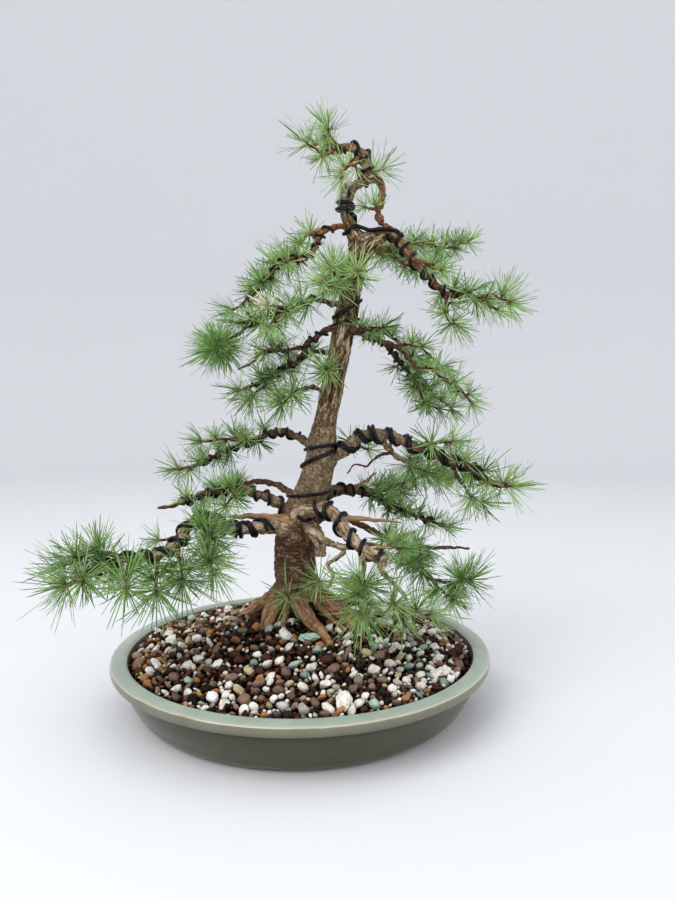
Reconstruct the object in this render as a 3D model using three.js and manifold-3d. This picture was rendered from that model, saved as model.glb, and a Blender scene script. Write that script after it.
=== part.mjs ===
// A wired larch bonsai in a round, shallow, glazed pot.
// Millimetres, +Z up, the front of the tree faces -Y, origin under the middle of the pot on the table.

import * as THREE from "three";
import { mergeVertices } from "three/addons/utils/BufferGeometryUtils.js";
import Module from "manifold-3d";

const wasm = await Module();
wasm.setup();

// ---------------------------------------------------------------- driving dimensions

const POT_RIM_RADIUS = 130;
const POT_LIP_HEIGHT = 34;
const POT_MOUTH_RADIUS = 120;
const POT_BASE_RADIUS = 107;
const POT_WALL = 6;
const POT_FLOOR = 6;
const POT_FOOT = 4;
const POT_BAND = 6;
const POT_CREST = 2.5;
const POT_EDGE = 1;
const POT_SHOULDER_HEIGHT = 26;
const POT_SIDES = 32;

const DRAIN_RADIUS = 9;
const DRAIN_OFFSET = 48;
const SCREEN_WIDTH = 34;
const SCREEN_THICKNESS = 1.4;
const SCREEN_CELL = 7;
const SCREEN_BAR = 2.5;

const SOIL_RADIUS = POT_MOUTH_RADIUS - 3;
const SOIL_EDGE_HEIGHT = 33;
const SOIL_CROWN_HEIGHT = 55;
const SOIL_CROWN_CENTRE = new THREE.Vector2(-8, 6);
const SOIL_FALL = 1.2;
const SOIL_MARGIN = 2;

const FIT_GAP = 0.35;
const LIMB_STEP = 24;
const COIL_STEPS = 6;
const WIRE_SIDES = 3;
const SLEEVE_STEP = 18;
const SLEEVE_SIDES = 5;
const SLEEVE_END = 0.55;
const SLEEVE_CORE = 2.6;
const STONE_STRETCH = [1.15, 0.9];
const STONE_RISE = 0.6;

// The trunk's half width at a few heights above the table, from the buried root plate to the bare top.
const TRUNK_GIRTH = [
  [30, 23],
  [54, 19],
  [66, 16.5],
  [85, 14.5],
  [110, 14.5],
  [126, 12.5],
  [160, 11.5],
  [178, 10.5],
  [190, 8.4],
  [225, 7.8],
  [245, 7.6],
  [260, 8.4],
  [278, 7.4],
  [303, 5.9],
  [320, 6.6],
  [330, 5.2],
  [345, 4.6],
  [360, 3.8],
];

// ---------------------------------------------------------------- the tree's wood

// Points run along the middle of each limb, from inside its parent outwards.
// root and tip are the half widths at its two ends.
// bends is the number of straight stretches of a crooked limb.
const LIMBS = {
  trunk: {
    points: [
      [-7, 10, 30],
      [-7, 11, 58],
      [-6, 12, 81],
      [-6, 11, 106],
      [-3, 11, 123],
      [6, 11, 141],
      [12, 10, 161],
      [14, 10, 180],
      [19, 10, 206],
      [26, 9, 242],
      [33, 9, 278],
      [38, 8, 302],
      [39, 8, 318],
      [33, 7, 330],
      [30, 6, 343],
      [34, 5, 358],
    ],
  },

  // surface roots
  root_left: { root: 8, tip: 3.5, points: [[-13, 4, 72], [-19, -4, 64], [-23, -12, 56], [-26, -22, 44]] },
  root_front: { root: 9, tip: 3.5, points: [[-4, -2, 72], [0, -16, 63], [10, -28, 57], [28, -42, 46]] },
  root_right: { root: 8, tip: 3.5, points: [[5, 8, 70], [15, 1, 64], [23, -7, 58], [36, -16, 47]] },
  root_far_right: { root: 8, tip: 3.5, points: [[4, 16, 70], [18, 24, 60], [34, 34, 47]] },
  root_back: { root: 9, tip: 3.5, points: [[-11, 20, 70], [-20, 36, 60], [-32, 50, 46]] },
  root_far_left: { root: 7, tip: 3, points: [[-16, 14, 68], [-34, 18, 56], [-50, 18, 44]] },

  // apex
  leader: {
    root: 3.6,
    tip: 1.8,
    bends: 7,
    points: [
      [31, 7, 336],
      [31, 7, 346],
      [35, 5, 355],
      [43, 4, 361],
      [45, 3, 370],
      [43, 2, 377],
      [33, 1, 381],
      [24, 0, 379],
    ],
  },
  leader_left: { root: 1.7, tip: 0.9, points: [[27, 1, 379], [20, -1, 383], [15, -4, 391]] },
  apex_tip: { root: 1.3, tip: 0.8, points: [[20, -1, 383], [21, 3, 392], [18, 6, 400]] },
  apex_left: { root: 1.5, tip: 0.8, points: [[25, 0, 379], [16, -4, 377], [7, -8, 378]] },
  apex_low: { root: 1.6, tip: 0.8, points: [[39, 4, 379], [37, -2, 366], [30, -6, 359], [25, -10, 352]] },
  apex_right: { root: 1.5, tip: 0.8, points: [[44, 5, 365], [50, 9, 371], [58, 12, 371]] },
  apex_back: { root: 1.5, tip: 0.8, points: [[42, 3, 377], [38, 14, 379], [30, 24, 376]] },
  hook: {
    root: 2.4,
    tip: 1.5,
    bends: 6,
    points: [
      [42, 5, 361],
      [51, 5, 362],
      [55, 4, 356],
      [56, 3, 347],
      [53, 2, 338],
      [56, 1, 329],
      [63, 0, 324],
    ],
  },
  hook_side: { root: 1.3, tip: 0.8, points: [[54, 3, 341], [47, -2, 339], [42, -8, 336]] },

  // upper tier
  top_left: {
    root: 2.8,
    tip: 1,
    points: [
      [36, 8, 325],
      [28, 6, 329],
      [19, 4, 327],
      [13, 3, 321],
      [9, 1, 312],
      [3, -2, 305],
      [-7, -4, 304],
      [-15, -6, 300],
      [-22, -8, 290],
      [-33, -10, 279],
      [-44, -12, 268],
    ],
  },
  top_left_side: { root: 1.4, tip: 0.8, points: [[16, 4, 325], [7, 6, 324], [-2, 8, 318], [-9, 9, 310]] },
  top_left_back: {
    root: 1.4,
    tip: 0.8,
    points: [
      [3, -2, 305],
      [-8, 8, 308],
      [-20, 18, 303],
      [-30, 28, 294],
    ],
  },
  top_right: {
    root: 4.2,
    tip: 1.1,
    bends: 8,
    points: [
      [39, 8, 315],
      [47, 6, 320],
      [56, 4, 322],
      [64, 2, 321],
      [69, -1, 314],
      [74, -3, 305],
      [81, -5, 298],
      [89, -8, 289],
      [98, -12, 279],
      [110, -14, 278],
      [120, -16, 274],
      [129, -18, 268],
    ],
  },
  top_right_end: { root: 1.2, tip: 0.8, points: [[118, -15, 275], [127, -22, 276], [135, -28, 270]] },
  top_right_low: {
    root: 1.4,
    tip: 0.8,
    points: [
      [98, -12, 280],
      [100, -13, 268],
      [101, -15, 258],
      [107, -18, 250],
    ],
  },
  top_right_near: { root: 1.4, tip: 0.8, points: [[74, -3, 305], [80, -16, 299], [90, -30, 291]] },
  top_back: {
    root: 2.4,
    tip: 0.9,
    points: [
      [42, 12, 314],
      [56, 22, 315],
      [72, 32, 324],
      [88, 42, 328],
      [104, 52, 326],
      [120, 60, 330],
      [134, 68, 336],
    ],
  },
  top_back_low: {
    root: 1.4,
    tip: 0.8,
    points: [
      [60, 24, 317],
      [72, 36, 311],
      [86, 46, 309],
      [102, 56, 312],
    ],
  },
  top_rear: { root: 2, tip: 0.9, points: [[38, 10, 300], [34, 26, 304], [26, 44, 302], [16, 60, 296]] },

  // middle tier
  crown_front: {
    root: 1.7,
    tip: 0.9,
    points: [
      [34, 4, 276],
      [31, -7, 283],
      [26, -18, 287],
      [21, -30, 291],
    ],
  },
  crown_front_left: { root: 1.4, tip: 0.8, points: [[28, -10, 284], [22, -20, 282], [16, -31, 281]] },
  crown_front_right: { root: 1.4, tip: 0.8, points: [[32, -4, 281], [36, -15, 286], [37, -28, 289]] },
  upper_left: {
    root: 2.2,
    tip: 1,
    bends: 5,
    points: [
      [28, 4, 262],
      [17, -3, 271],
      [7, -7, 274],
      [-2, -12, 270],
      [-12, -17, 267],
      [-25, -21, 260],
      [-36, -26, 257],
    ],
  },
  upper_left_globe: {
    root: 1.4,
    tip: 0.9,
    points: [
      [-24, -21, 260],
      [-35, -25, 254],
      [-44, -28, 248],
      [-52, -30, 243],
    ],
  },
  upper_left_pale: { root: 1.3, tip: 0.8, points: [[-7, -14, 269], [-15, -20, 271], [-22, -25, 273]] },
  upper_left_low: { root: 1.3, tip: 0.8, points: [[-10, -16, 268], [-15, -22, 261], [-19, -28, 255]] },
  mid_left: {
    root: 2.6,
    tip: 1,
    points: [
      [29, 6, 258],
      [20, 5, 258],
      [11, 6, 252],
      [3, 7, 247],
      [1, 8, 240],
      [-4, 10, 234],
      [-12, 12, 232],
      [-19, 13, 226],
      [-30, 16, 221],
      [-45, 20, 216],
    ],
  },
  mid_left_side: {
    root: 1.5,
    tip: 0.8,
    points: [
      [2, 7, 245],
      [-15, 12, 243],
      [-30, 17, 242],
      [-38, 22, 235],
      [-49, 28, 231],
    ],
  },
  mid_left_tip: { root: 1.2, tip: 0.8, points: [[-19, 13, 226], [-29, 20, 218], [-40, 28, 210]] },
  mid_left_back: {
    root: 1.8,
    tip: 0.8,
    points: [
      [24, 14, 240],
      [10, 30, 244],
      [-6, 46, 242],
      [-22, 60, 234],
    ],
  },
  low_twig: { root: 1.8, tip: 0.9, points: [[18, 6, 212], [8, -2, 216], [-5, -9, 212], [-12, -16, 205]] },
  trunk_front: { root: 1.4, tip: 0.8, points: [[22, 2, 224], [18, -11, 225], [14, -23, 227]] },
  mid_right: {
    root: 2.6,
    tip: 1,
    points: [
      [28, 11, 252],
      [39, 16, 257],
      [49, 21, 253],
      [58, 25, 250],
      [67, 31, 241],
      [79, 38, 229],
      [90, 44, 222],
      [100, 49, 212],
      [112, 53, 204],
    ],
  },
  mid_right_near: {
    root: 1.8,
    tip: 0.9,
    points: [
      [56, 24, 251],
      [66, 16, 247],
      [75, 11, 238],
      [82, 7, 230],
      [91, 3, 229],
      [99, -2, 222],
      [109, -6, 215],
      [115, -10, 206],
    ],
  },
  mid_right_top: {
    root: 1.3,
    tip: 0.8,
    points: [
      [66, 16, 247],
      [79, 18, 248],
      [89, 21, 243],
      [101, 24, 234],
    ],
  },
  mid_right_low: {
    root: 1.3,
    tip: 0.8,
    points: [
      [80, 39, 229],
      [85, 36, 218],
      [90, 38, 209],
      [101, 42, 202],
    ],
  },
  mid_right_stub: { root: 1.4, tip: 0.8, points: [[30, 6, 252], [42, -2, 256], [54, -11, 256]] },
  mid_rear: {
    root: 2.2,
    tip: 0.9,
    points: [
      [28, 12, 250],
      [45, 40, 262],
      [70, 62, 258],
      [90, 80, 238],
      [98, 94, 218],
    ],
  },

  // lower tier, left
  low_left: {
    root: 3,
    tip: 1,
    points: [
      [12, 12, 172],
      [-2, 16, 180],
      [-10, 20, 184],
      [-18, 24, 185],
      [-27, 29, 183],
      [-45, 35, 175],
      [-60, 40, 171],
      [-80, 48, 160],
      [-98, 53, 155],
    ],
  },
  low_left_up: { root: 1.4, tip: 0.8, points: [[-40, 33, 177], [-55, 26, 179], [-73, 20, 178]] },
  left_two: {
    root: 4.4,
    tip: 1.1,
    points: [
      [2, 10, 120],
      [-12, 7, 129],
      [-18, 6, 134],
      [-30, 4, 140],
      [-48, 1, 145],
      [-60, -1, 143],
      [-70, -3, 141],
      [-81, -4, 136],
      [-100, -8, 133],
    ],
  },
  left_two_near: { root: 1.3, tip: 0.8, points: [[-44, 2, 144], [-48, -10, 140], [-50, -22, 136]] },
  left_back: {
    root: 2.8,
    tip: 1,
    points: [
      [-3, 16, 134],
      [-19, 38, 143],
      [-38, 58, 145],
      [-60, 78, 138],
      [-82, 96, 129],
    ],
  },
  left_back_side: { root: 1.4, tip: 0.8, points: [[-46, 65, 143], [-60, 82, 141], [-66, 100, 134]] },
  left_spike: {
    root: 4.4,
    tip: 0.9,
    points: [
      [-4, 4, 120],
      [-20, 0, 124],
      [-35, -3, 126],
      [-52, -6, 126],
    ],
  },
  left_low: {
    root: 4.6,
    tip: 1.1,
    points: [
      [-6, 6, 112],
      [-21, -7, 119],
      [-31, -13, 120],
      [-43, -20, 119],
      [-54, -27, 125],
      [-62, -34, 130],
      [-70, -40, 126],
      [-77, -48, 115],
      [-88, -58, 109],
      [-102, -68, 110],
      [-114, -78, 107],
      [-127, -92, 101],
    ],
  },
  left_low_out: {
    root: 1.6,
    tip: 0.9,
    points: [
      [-103, -68, 110],
      [-115, -72, 113],
      [-127, -78, 113],
      [-139, -84, 107],
    ],
  },
  left_low_in: {
    root: 1.8,
    tip: 0.9,
    points: [
      [-64, -35, 129],
      [-58, -48, 118],
      [-54, -56, 107],
      [-52, -63, 98],
    ],
  },
  left_low_under: { root: 1.6, tip: 0.9, points: [[-86, -57, 110], [-81, -70, 102], [-76, -81, 95]] },
  left_low_mid: { root: 1.6, tip: 0.9, points: [[-99, -66, 110], [-99, -77, 104], [-96, -89, 98]] },
  left_low_up: { root: 1.5, tip: 0.8, points: [[-72, -42, 123], [-85, -50, 120], [-96, -56, 121]] },

  // lower tier, right
  right_one: {
    root: 4.8,
    tip: 1.2,
    points: [
      [14, 9, 160],
      [25, 5, 168],
      [32, 2, 175],
      [42, -2, 182],
      [54, -5, 184],
      [66, -9, 181],
      [81, -15, 174],
      [99, -21, 167],
      [114, -24, 161],
      [125, -29, 153],
      [137, -34, 150],
    ],
  },
  right_one_under: {
    root: 2.2,
    tip: 0.9,
    points: [
      [54, -4, 183],
      [60, 6, 175],
      [67, 11, 168],
      [82, 18, 161],
      [98, 24, 151],
    ],
  },
  right_one_bare: {
    root: 1.3,
    tip: 0.7,
    points: [
      [64, 9, 170],
      [50, 2, 163],
      [41, -4, 161],
      [31, -9, 157],
    ],
  },
  right_one_side: {
    root: 1.4,
    tip: 0.8,
    points: [
      [100, -21, 167],
      [108, -12, 153],
      [116, -4, 143],
      [126, 4, 135],
    ],
  },
  right_one_top: { root: 1.4, tip: 0.8, points: [[82, -15, 174], [90, -20, 178], [99, -27, 179]] },
  right_upper_stub: { root: 1.6, tip: 0.8, points: [[18, 10, 174], [33, 16, 178], [46, 26, 172]] },
  right_two: {
    root: 3.6,
    tip: 1,
    points: [
      [4, 14, 134],
      [20, 22, 142],
      [32, 28, 142],
      [43, 35, 139],
      [55, 41, 134],
      [68, 47, 125],
      [80, 54, 120],
      [92, 60, 115],
      [112, 66, 107],
    ],
  },
  right_two_spike: { root: 1.6, tip: 0.6, points: [[36, 30, 141], [45, 26, 148], [54, 24, 155]] },
  right_back: {
    root: 3.2,
    tip: 1,
    points: [
      [6, 18, 132],
      [28, 42, 138],
      [52, 62, 136],
      [82, 84, 142],
      [112, 100, 150],
    ],
  },
  right_back_side: { root: 1.5, tip: 0.8, points: [[59, 68, 136], [74, 90, 136], [82, 106, 130]] },
  right_front: {
    root: 5.2,
    tip: 3.6,
    bends: 6,
    points: [
      [-5, 5, 124],
      [5, -7, 131],
      [17, -13, 132],
      [24, -19, 129],
      [28, -26, 122],
      [35, -33, 115],
      [44, -39, 109],
      [55, -48, 103],
    ],
  },
  right_front_twig: {
    root: 1.8,
    tip: 1,
    points: [
      [50, -44, 106],
      [54, -53, 97],
      [62, -60, 90],
      [68, -66, 84],
    ],
  },
  right_front_drop: {
    root: 1.7,
    tip: 0.9,
    points: [
      [40, -36, 112],
      [41, -48, 101],
      [39, -58, 92],
      [39, -67, 85],
    ],
  },
  right_front_end: { root: 1.3, tip: 0.8, points: [[60, -58, 92], [70, -62, 83], [80, -64, 77]] },
  right_front_spike: {
    root: 3,
    tip: 0.6,
    points: [
      [12, -6, 130],
      [28, 2, 124],
      [46, 2, 123],
      [69, -2, 122],
    ],
  },
  right_low: {
    root: 3,
    tip: 1,
    points: [
      [2, 14, 116],
      [20, 16, 124],
      [33, 19, 121],
      [46, 22, 114],
      [58, 26, 107],
      [73, 29, 101],
      [97, 34, 97],
      [126, 40, 95],
    ],
  },
  right_low_leaf: {
    root: 1.4,
    tip: 0.8,
    points: [
      [56, 25, 108],
      [67, 18, 102],
      [75, 12, 95],
      [83, 6, 88],
    ],
  },
  fork: {
    root: 3,
    tip: 1.2,
    points: [
      [8, -4, 116],
      [20, -16, 109],
      [31, -25, 109],
      [42, -30, 112],
      [53, -33, 111],
    ],
  },
  curl: {
    root: 1.7,
    tip: 1,
    bends: 8,
    points: [
      [24, -20, 110],
      [29, -24, 105],
      [24, -25, 101],
      [19, -25, 97],
      [21, -26, 90],
      [20, -27, 83],
      [13, -27, 81],
      [6, -26, 80],
    ],
  },
  knee: {
    root: 4.6,
    tip: 3.8,
    points: [
      [3, 2, 122],
      [12, -6, 116],
      [16, -9, 106],
      [16, -10, 95],
    ],
  },
  right_end: {
    root: 1.7,
    tip: 0.9,
    points: [
      [70, 28, 102],
      [81, 15, 92],
      [89, 2, 83],
      [100, -11, 81],
      [112, -23, 86],
    ],
  },
  right_end_low: { root: 1.3, tip: 0.8, points: [[87, 4, 85], [94, -13, 79], [100, -26, 74]] },
  base_shoot: { root: 1.6, tip: 0.8, points: [[-2, -4, 76], [-5, -18, 80], [-7, -33, 82]] },
  base_shoot_right: { root: 1.5, tip: 0.8, points: [[1, 4, 84], [10, -14, 88], [14, -30, 92]] },
};

// ---------------------------------------------------------------- the wires and the needles

// Each wire winds on one limb, between two shares of its length.
const WIRES = {
  wire_neck: { limb: "trunk", from: 0.905, to: 0.985, turns: 3, half: 1.3 },
  wire_apex: { limb: "leader", from: 0.5, to: 0.97, turns: 3, half: 1 },
  wire_top_left: { limb: "top_left", from: 0.16, to: 0.86, turns: 8, half: 0.9 },
  wire_top_right: { limb: "top_right", from: 0.18, to: 0.84, turns: 8, half: 1.1 },
  wire_trunk_upper: { limb: "trunk", from: 0.67, to: 0.74, turns: 1.6, half: 1 },
  wire_upper_left: { limb: "upper_left", from: 0.62, to: 0.98, turns: 3, half: 0.8 },
  wire_mid_left: { limb: "mid_left", from: 0.2, to: 0.9, turns: 7, half: 0.8 },
  wire_mid_right: { limb: "mid_right", from: 0.2, to: 0.8, turns: 6, half: 0.8 },
  wire_low_left: { limb: "low_left", from: 0.16, to: 0.8, turns: 7, half: 0.8 },
  wire_trunk_lower: { limb: "trunk", from: 0.375, to: 0.44, turns: 2, half: 1.3 },
  wire_left_two: { limb: "left_two", from: 0.2, to: 0.85, turns: 6, half: 1.1 },
  wire_left_low: { limb: "left_low", from: 0.18, to: 0.85, turns: 9, half: 1.2 },
  wire_right_one: { limb: "right_one", from: 0.16, to: 0.86, turns: 9, half: 1.2 },
  wire_right_two: { limb: "right_two", from: 0.25, to: 0.85, turns: 7, half: 0.9 },
  wire_right_front: { limb: "right_front", from: 0.3, to: 0.92, turns: 4, half: 1.3 },
};

// Each cluster of needles: the limbs that carry it, the share of each where it starts, and its half width.
const NEEDLES = {
  needles_apex: [
    ["leader", 0.72, 9],
    ["leader_left", 0.2, 15],
    ["apex_tip", 0.3, 15],
    ["apex_left", 0.3, 15],
    ["apex_back", 0.1, 14],
  ],
  needles_apex_right: [["apex_right", 0.3, 14]],
  needles_apex_low: [["apex_low", 0.35, 14]],
  needles_hook: [["hook_side", 0.2, 13]],
  needles_top_left: [
    ["top_left", 0.42, 15],
    ["top_left_side", 0.2, 14],
    ["top_left_back", 0.1, 14],
  ],
  needles_top_right: [
    ["top_right", 0.62, 16],
    ["top_right_end", 0.1, 16],
    ["top_right_low", 0.1, 15],
    ["top_right_near", 0.35, 15],
  ],
  needles_top_back: [
    ["top_back", 0.3, 14],
    ["top_back_low", 0.1, 13],
  ],
  needles_top_rear: [["top_rear", 0.3, 15]],
  needles_crown_front: [
    ["crown_front", 0.45, 16],
    ["crown_front_left", 0.4, 16],
    ["crown_front_right", 0.4, 15],
  ],
  needles_upper_left: [
    ["upper_left", 0.35, 15],
    ["upper_left_low", 0.1, 15],
    ["upper_left_pale", 0.1, 14],
  ],
  needles_upper_left_globe: [["upper_left_globe", 0.7, 19]],
  needles_mid_left: [
    ["mid_left", 0.5, 15],
    ["mid_left_side", 0.35, 14],
    ["mid_left_tip", 0.1, 15],
  ],
  needles_mid_left_back: [["mid_left_back", 0.3, 15]],
  needles_low_twig: [["low_twig", 0.5, 14]],
  needles_trunk_front: [["trunk_front", 0.6, 16]],
  needles_mid_right: [
    ["mid_right", 0.55, 15],
    ["mid_right_low", 0.1, 15],
  ],
  needles_mid_right_near: [
    ["mid_right_near", 0.25, 15],
    ["mid_right_top", 0.1, 14],
  ],
  needles_mid_right_stub: [["mid_right_stub", 0.4, 14]],
  needles_mid_rear: [["mid_rear", 0.3, 16]],
  needles_low_left: [
    ["low_left", 0.32, 15],
    ["low_left_up", 0.1, 14],
  ],
  needles_left_two: [
    ["left_two", 0.5, 14],
    ["left_two_near", 0.3, 14],
  ],
  needles_left_back: [
    ["left_back", 0.58, 16],
    ["left_back_side", 0.1, 15],
  ],
  needles_left_low: [
    ["left_low", 0.62, 19],
    ["left_low_out", 0.1, 19],
    ["left_low_mid", 0.1, 19],
    ["left_low_under", 0.3, 19],
  ],
  needles_left_low_in: [["left_low_in", 0.4, 19]],
  needles_left_low_up: [["left_low_up", 0.4, 15]],
  needles_right_one: [
    ["right_one", 0.62, 16],
    ["right_one_side", 0.1, 15],
    ["right_one_top", 0.2, 15],
  ],
  needles_right_one_under: [["right_one_under", 0.35, 16]],
  needles_right_upper_stub: [["right_upper_stub", 0.4, 13]],
  needles_right_two: [["right_two", 0.3, 16]],
  needles_right_back: [
    ["right_back", 0.5, 16],
    ["right_back_side", 0.1, 15],
  ],
  needles_right_front: [["right_front_drop", 0.5, 19]],
  needles_right_front_end: [["right_front_end", 0.2, 18]],
  needles_right_low: [
    ["right_low_leaf", 0.3, 17],
    ["right_low", 0.62, 14],
  ],
  needles_right_end: [
    ["right_end", 0.7, 18],
    ["right_end_low", 0.3, 15],
  ],
  needles_base: [["base_shoot", 0.6, 15]],
  needles_base_right: [["base_shoot_right", 0.6, 14]],
};

// The larger stones on the soil: where each lies and its half width.
const STONES = {
  stone_zeolite: { at: [7, -39], half: 6, flat: 0.7, turn: 0.5 },
  stone_pumice_left: { at: [-9, -37], half: 5, flat: 0.75, turn: 1.4 },
  stone_pumice_front: { at: [28, -101], half: 5.2, flat: 0.85, turn: 0.2 },
  stone_pumice_right: { at: [86, -60], half: 5, flat: 0.7, turn: 2.1 },
};

// ---------------------------------------------------------------- solids

function solidOf(geometry) {
  const bare = geometry.clone();
  bare.deleteAttribute("normal");
  bare.deleteAttribute("uv");
  const merged = mergeVertices(bare, 1e-3);
  return new wasm.Manifold(
    new wasm.Mesh({
      numProp: 3,
      vertProperties: new Float32Array(merged.getAttribute("position").array),
      triVerts: new Uint32Array(merged.index.array),
    }),
  );
}

function geometryOf(solid) {
  const mesh = solid.getMesh();
  const geometry = new THREE.BufferGeometry();
  geometry.setAttribute("position", new THREE.BufferAttribute(mesh.vertProperties, mesh.numProp));
  geometry.setIndex(new THREE.BufferAttribute(mesh.triVerts, 1));
  const faceted = geometry.toNonIndexed();
  faceted.computeVertexNormals();
  return faceted;
}

function joined(solids) {
  return solids.reduce((all, one) => all.add(one));
}

function largestBody(solid) {
  const bodies = solid.decompose();
  return bodies.reduce((best, one) => (one.volume() > best.volume() ? one : best));
}

function boxesMeet(a, b) {
  const one = a.boundingBox();
  const other = b.boundingBox();
  return [0, 1, 2].every((axis) => one.min[axis] < other.max[axis] && other.min[axis] < one.max[axis]);
}

function cutBy(solid, cutters) {
  return cutters.filter((one) => boxesMeet(solid, one)).reduce((left, one) => left.subtract(one), solid);
}

// ---------------------------------------------------------------- limbs

function interpolate(table, at) {
  const upper = table.findIndex(([position]) => position >= at);
  if (upper < 0) return table[table.length - 1][1];
  if (upper === 0) return table[0][1];
  const [low, lowValue] = table[upper - 1];
  const [high, highValue] = table[upper];
  return lowValue + ((highValue - lowValue) * (at - low)) / (high - low);
}

function limbCurve(name) {
  const points = LIMBS[name].points.map((point) => new THREE.Vector3(...point));
  return new THREE.CatmullRomCurve3(points);
}

function limbRadius(name, curve) {
  const { root, tip } = LIMBS[name];
  if (name === "trunk") return (share) => interpolate(TRUNK_GIRTH, curve.getPointAt(share).z);
  return (share) => root + (tip - root) * share;
}

function limbSides(name) {
  if (name === "trunk") return 10;
  const { root } = LIMBS[name];
  if (root > 4) return 6;
  return root > 2 ? 5 : 3;
}

// A unit cylinder is bent along a curve: each of its rings moves to its place and takes its own radius.
function bentTube(curve, radiusAt, sides, steps) {
  const frames = curve.computeFrenetFrames(steps);
  const geometry = new THREE.CylinderGeometry(1, 1, 1, sides, steps);
  const position = geometry.getAttribute("position");
  const vertex = new THREE.Vector3();
  for (let i = 0; i < position.count; i += 1) {
    vertex.fromBufferAttribute(position, i);
    const share = vertex.y + 0.5;
    const ring = Math.round(share * steps);
    const radius = radiusAt(share);
    const place = curve.getPointAt(share);
    place.addScaledVector(frames.normals[ring], vertex.x * radius);
    place.addScaledVector(frames.binormals[ring], -vertex.z * radius);
    position.setXYZ(i, place.x, place.y, place.z);
  }
  return solidOf(geometry);
}

function limbSteps(name, curve) {
  return LIMBS[name].bends ?? Math.max(2, Math.round(curve.getLength() / LIMB_STEP));
}

function limbSolid(name, clearance) {
  const curve = limbCurve(name);
  const radiusAt = limbRadius(name, curve);
  return bentTube(curve, (share) => radiusAt(share) + clearance, limbSides(name), limbSteps(name, curve));
}

// The straight stretches between a limb's rings, which is what its wire winds on.
function limbAxis(name) {
  const curve = limbCurve(name);
  const rings = curve.getSpacedPoints(limbSteps(name, curve));
  const axis = new THREE.CurvePath();
  rings.slice(1).forEach((ring, i) => axis.add(new THREE.LineCurve3(rings[i], ring)));
  return axis;
}

// ---------------------------------------------------------------- pot, screens and soil

function lathe(outline, sides) {
  return new THREE.LatheGeometry(
    outline.map(([radius, height]) => new THREE.Vector2(radius, height)),
    sides,
  ).rotateX(Math.PI / 2);
}

function potSolid() {
  const bowl = solidOf(
    lathe(
      [
        [0, 0],
        [POT_BASE_RADIUS, 0],
        [POT_BASE_RADIUS + POT_FOOT, POT_FOOT],
        [POT_RIM_RADIUS - 1.5 * POT_BAND, POT_LIP_HEIGHT - 2 * POT_BAND],
        [POT_RIM_RADIUS - POT_BAND, POT_LIP_HEIGHT - POT_BAND],
        [POT_RIM_RADIUS - POT_EDGE, POT_LIP_HEIGHT - POT_BAND + POT_EDGE],
        [POT_RIM_RADIUS, POT_LIP_HEIGHT - 2 * POT_EDGE],
        [POT_RIM_RADIUS - POT_EDGE, POT_LIP_HEIGHT],
        [POT_MOUTH_RADIUS + POT_EDGE, POT_LIP_HEIGHT + POT_CREST],
        [POT_MOUTH_RADIUS - POT_EDGE, POT_LIP_HEIGHT + POT_EDGE],
        [SOIL_RADIUS, POT_SHOULDER_HEIGHT],
        [POT_BASE_RADIUS - POT_WALL, POT_FLOOR],
        [0, POT_FLOOR],
      ],
      POT_SIDES,
    ),
  );
  return cutBy(bowl, drainCores());
}

function drainCores() {
  return [-DRAIN_OFFSET, DRAIN_OFFSET].map((x) => {
    const core = new THREE.CylinderGeometry(DRAIN_RADIUS, DRAIN_RADIUS, 3 * POT_FLOOR, 12);
    return solidOf(core.rotateX(Math.PI / 2).translate(x, 0, 0));
  });
}

// A square of plastic mesh that lies on the pot floor over a drain hole.
function screenSolid(x) {
  const middle = POT_FLOOR + FIT_GAP + SCREEN_THICKNESS / 2;
  const sheet = new THREE.BoxGeometry(SCREEN_WIDTH, SCREEN_WIDTH, SCREEN_THICKNESS);
  const plate = solidOf(sheet.translate(x, 0, middle));
  const cells = [];
  for (const column of [-1, 0, 1]) {
    for (const row of [-1, 0, 1]) {
      const cell = new THREE.BoxGeometry(SCREEN_CELL, SCREEN_CELL, 3 * SCREEN_THICKNESS);
      const pitch = SCREEN_CELL + SCREEN_BAR;
      cells.push(solidOf(cell.translate(x + column * pitch, row * pitch, middle)));
    }
  }
  return cutBy(plate, cells);
}

function soilHeight(x, y) {
  const fromEdge = Math.min(1, Math.hypot(x, y) / (SOIL_RADIUS - 1));
  const fromCrown = Math.hypot(x - SOIL_CROWN_CENTRE.x, y - SOIL_CROWN_CENTRE.y) / POT_MOUTH_RADIUS;
  const mound = (1 - fromEdge ** 2) * Math.exp(-SOIL_FALL * fromCrown ** 2);
  return SOIL_EDGE_HEIGHT + (SOIL_CROWN_HEIGHT - SOIL_EDGE_HEIGHT) * mound;
}

function soilSolid() {
  const wall = SOIL_RADIUS - FIT_GAP;
  const top = 2 * POT_LIP_HEIGHT;
  const rings = [0.8, 0.58, 0.36, 0.16].map((share) => [wall * share, top]);
  const geometry = lathe(
    [
      [0, POT_FLOOR + FIT_GAP],
      [POT_BASE_RADIUS - POT_WALL - 1, POT_FLOOR + FIT_GAP],
      [wall - 0.6, POT_SHOULDER_HEIGHT],
      [wall + 1.6, SOIL_EDGE_HEIGHT],
      ...rings,
      [0, top],
    ],
    POT_SIDES,
  );
  const position = geometry.getAttribute("position");
  for (let i = 0; i < position.count; i += 1) {
    if (position.getZ(i) > SOIL_EDGE_HEIGHT + 1) {
      position.setZ(i, soilHeight(position.getX(i), position.getY(i)));
    }
  }
  const pockets = [-DRAIN_OFFSET, DRAIN_OFFSET].map((x) => {
    const width = SCREEN_WIDTH + 2 * FIT_GAP;
    const pocket = new THREE.BoxGeometry(width, width, 2 * (SCREEN_THICKNESS + 2 * FIT_GAP));
    return solidOf(pocket.translate(x, 0, POT_FLOOR));
  });
  return cutBy(solidOf(geometry), pockets);
}

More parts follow.
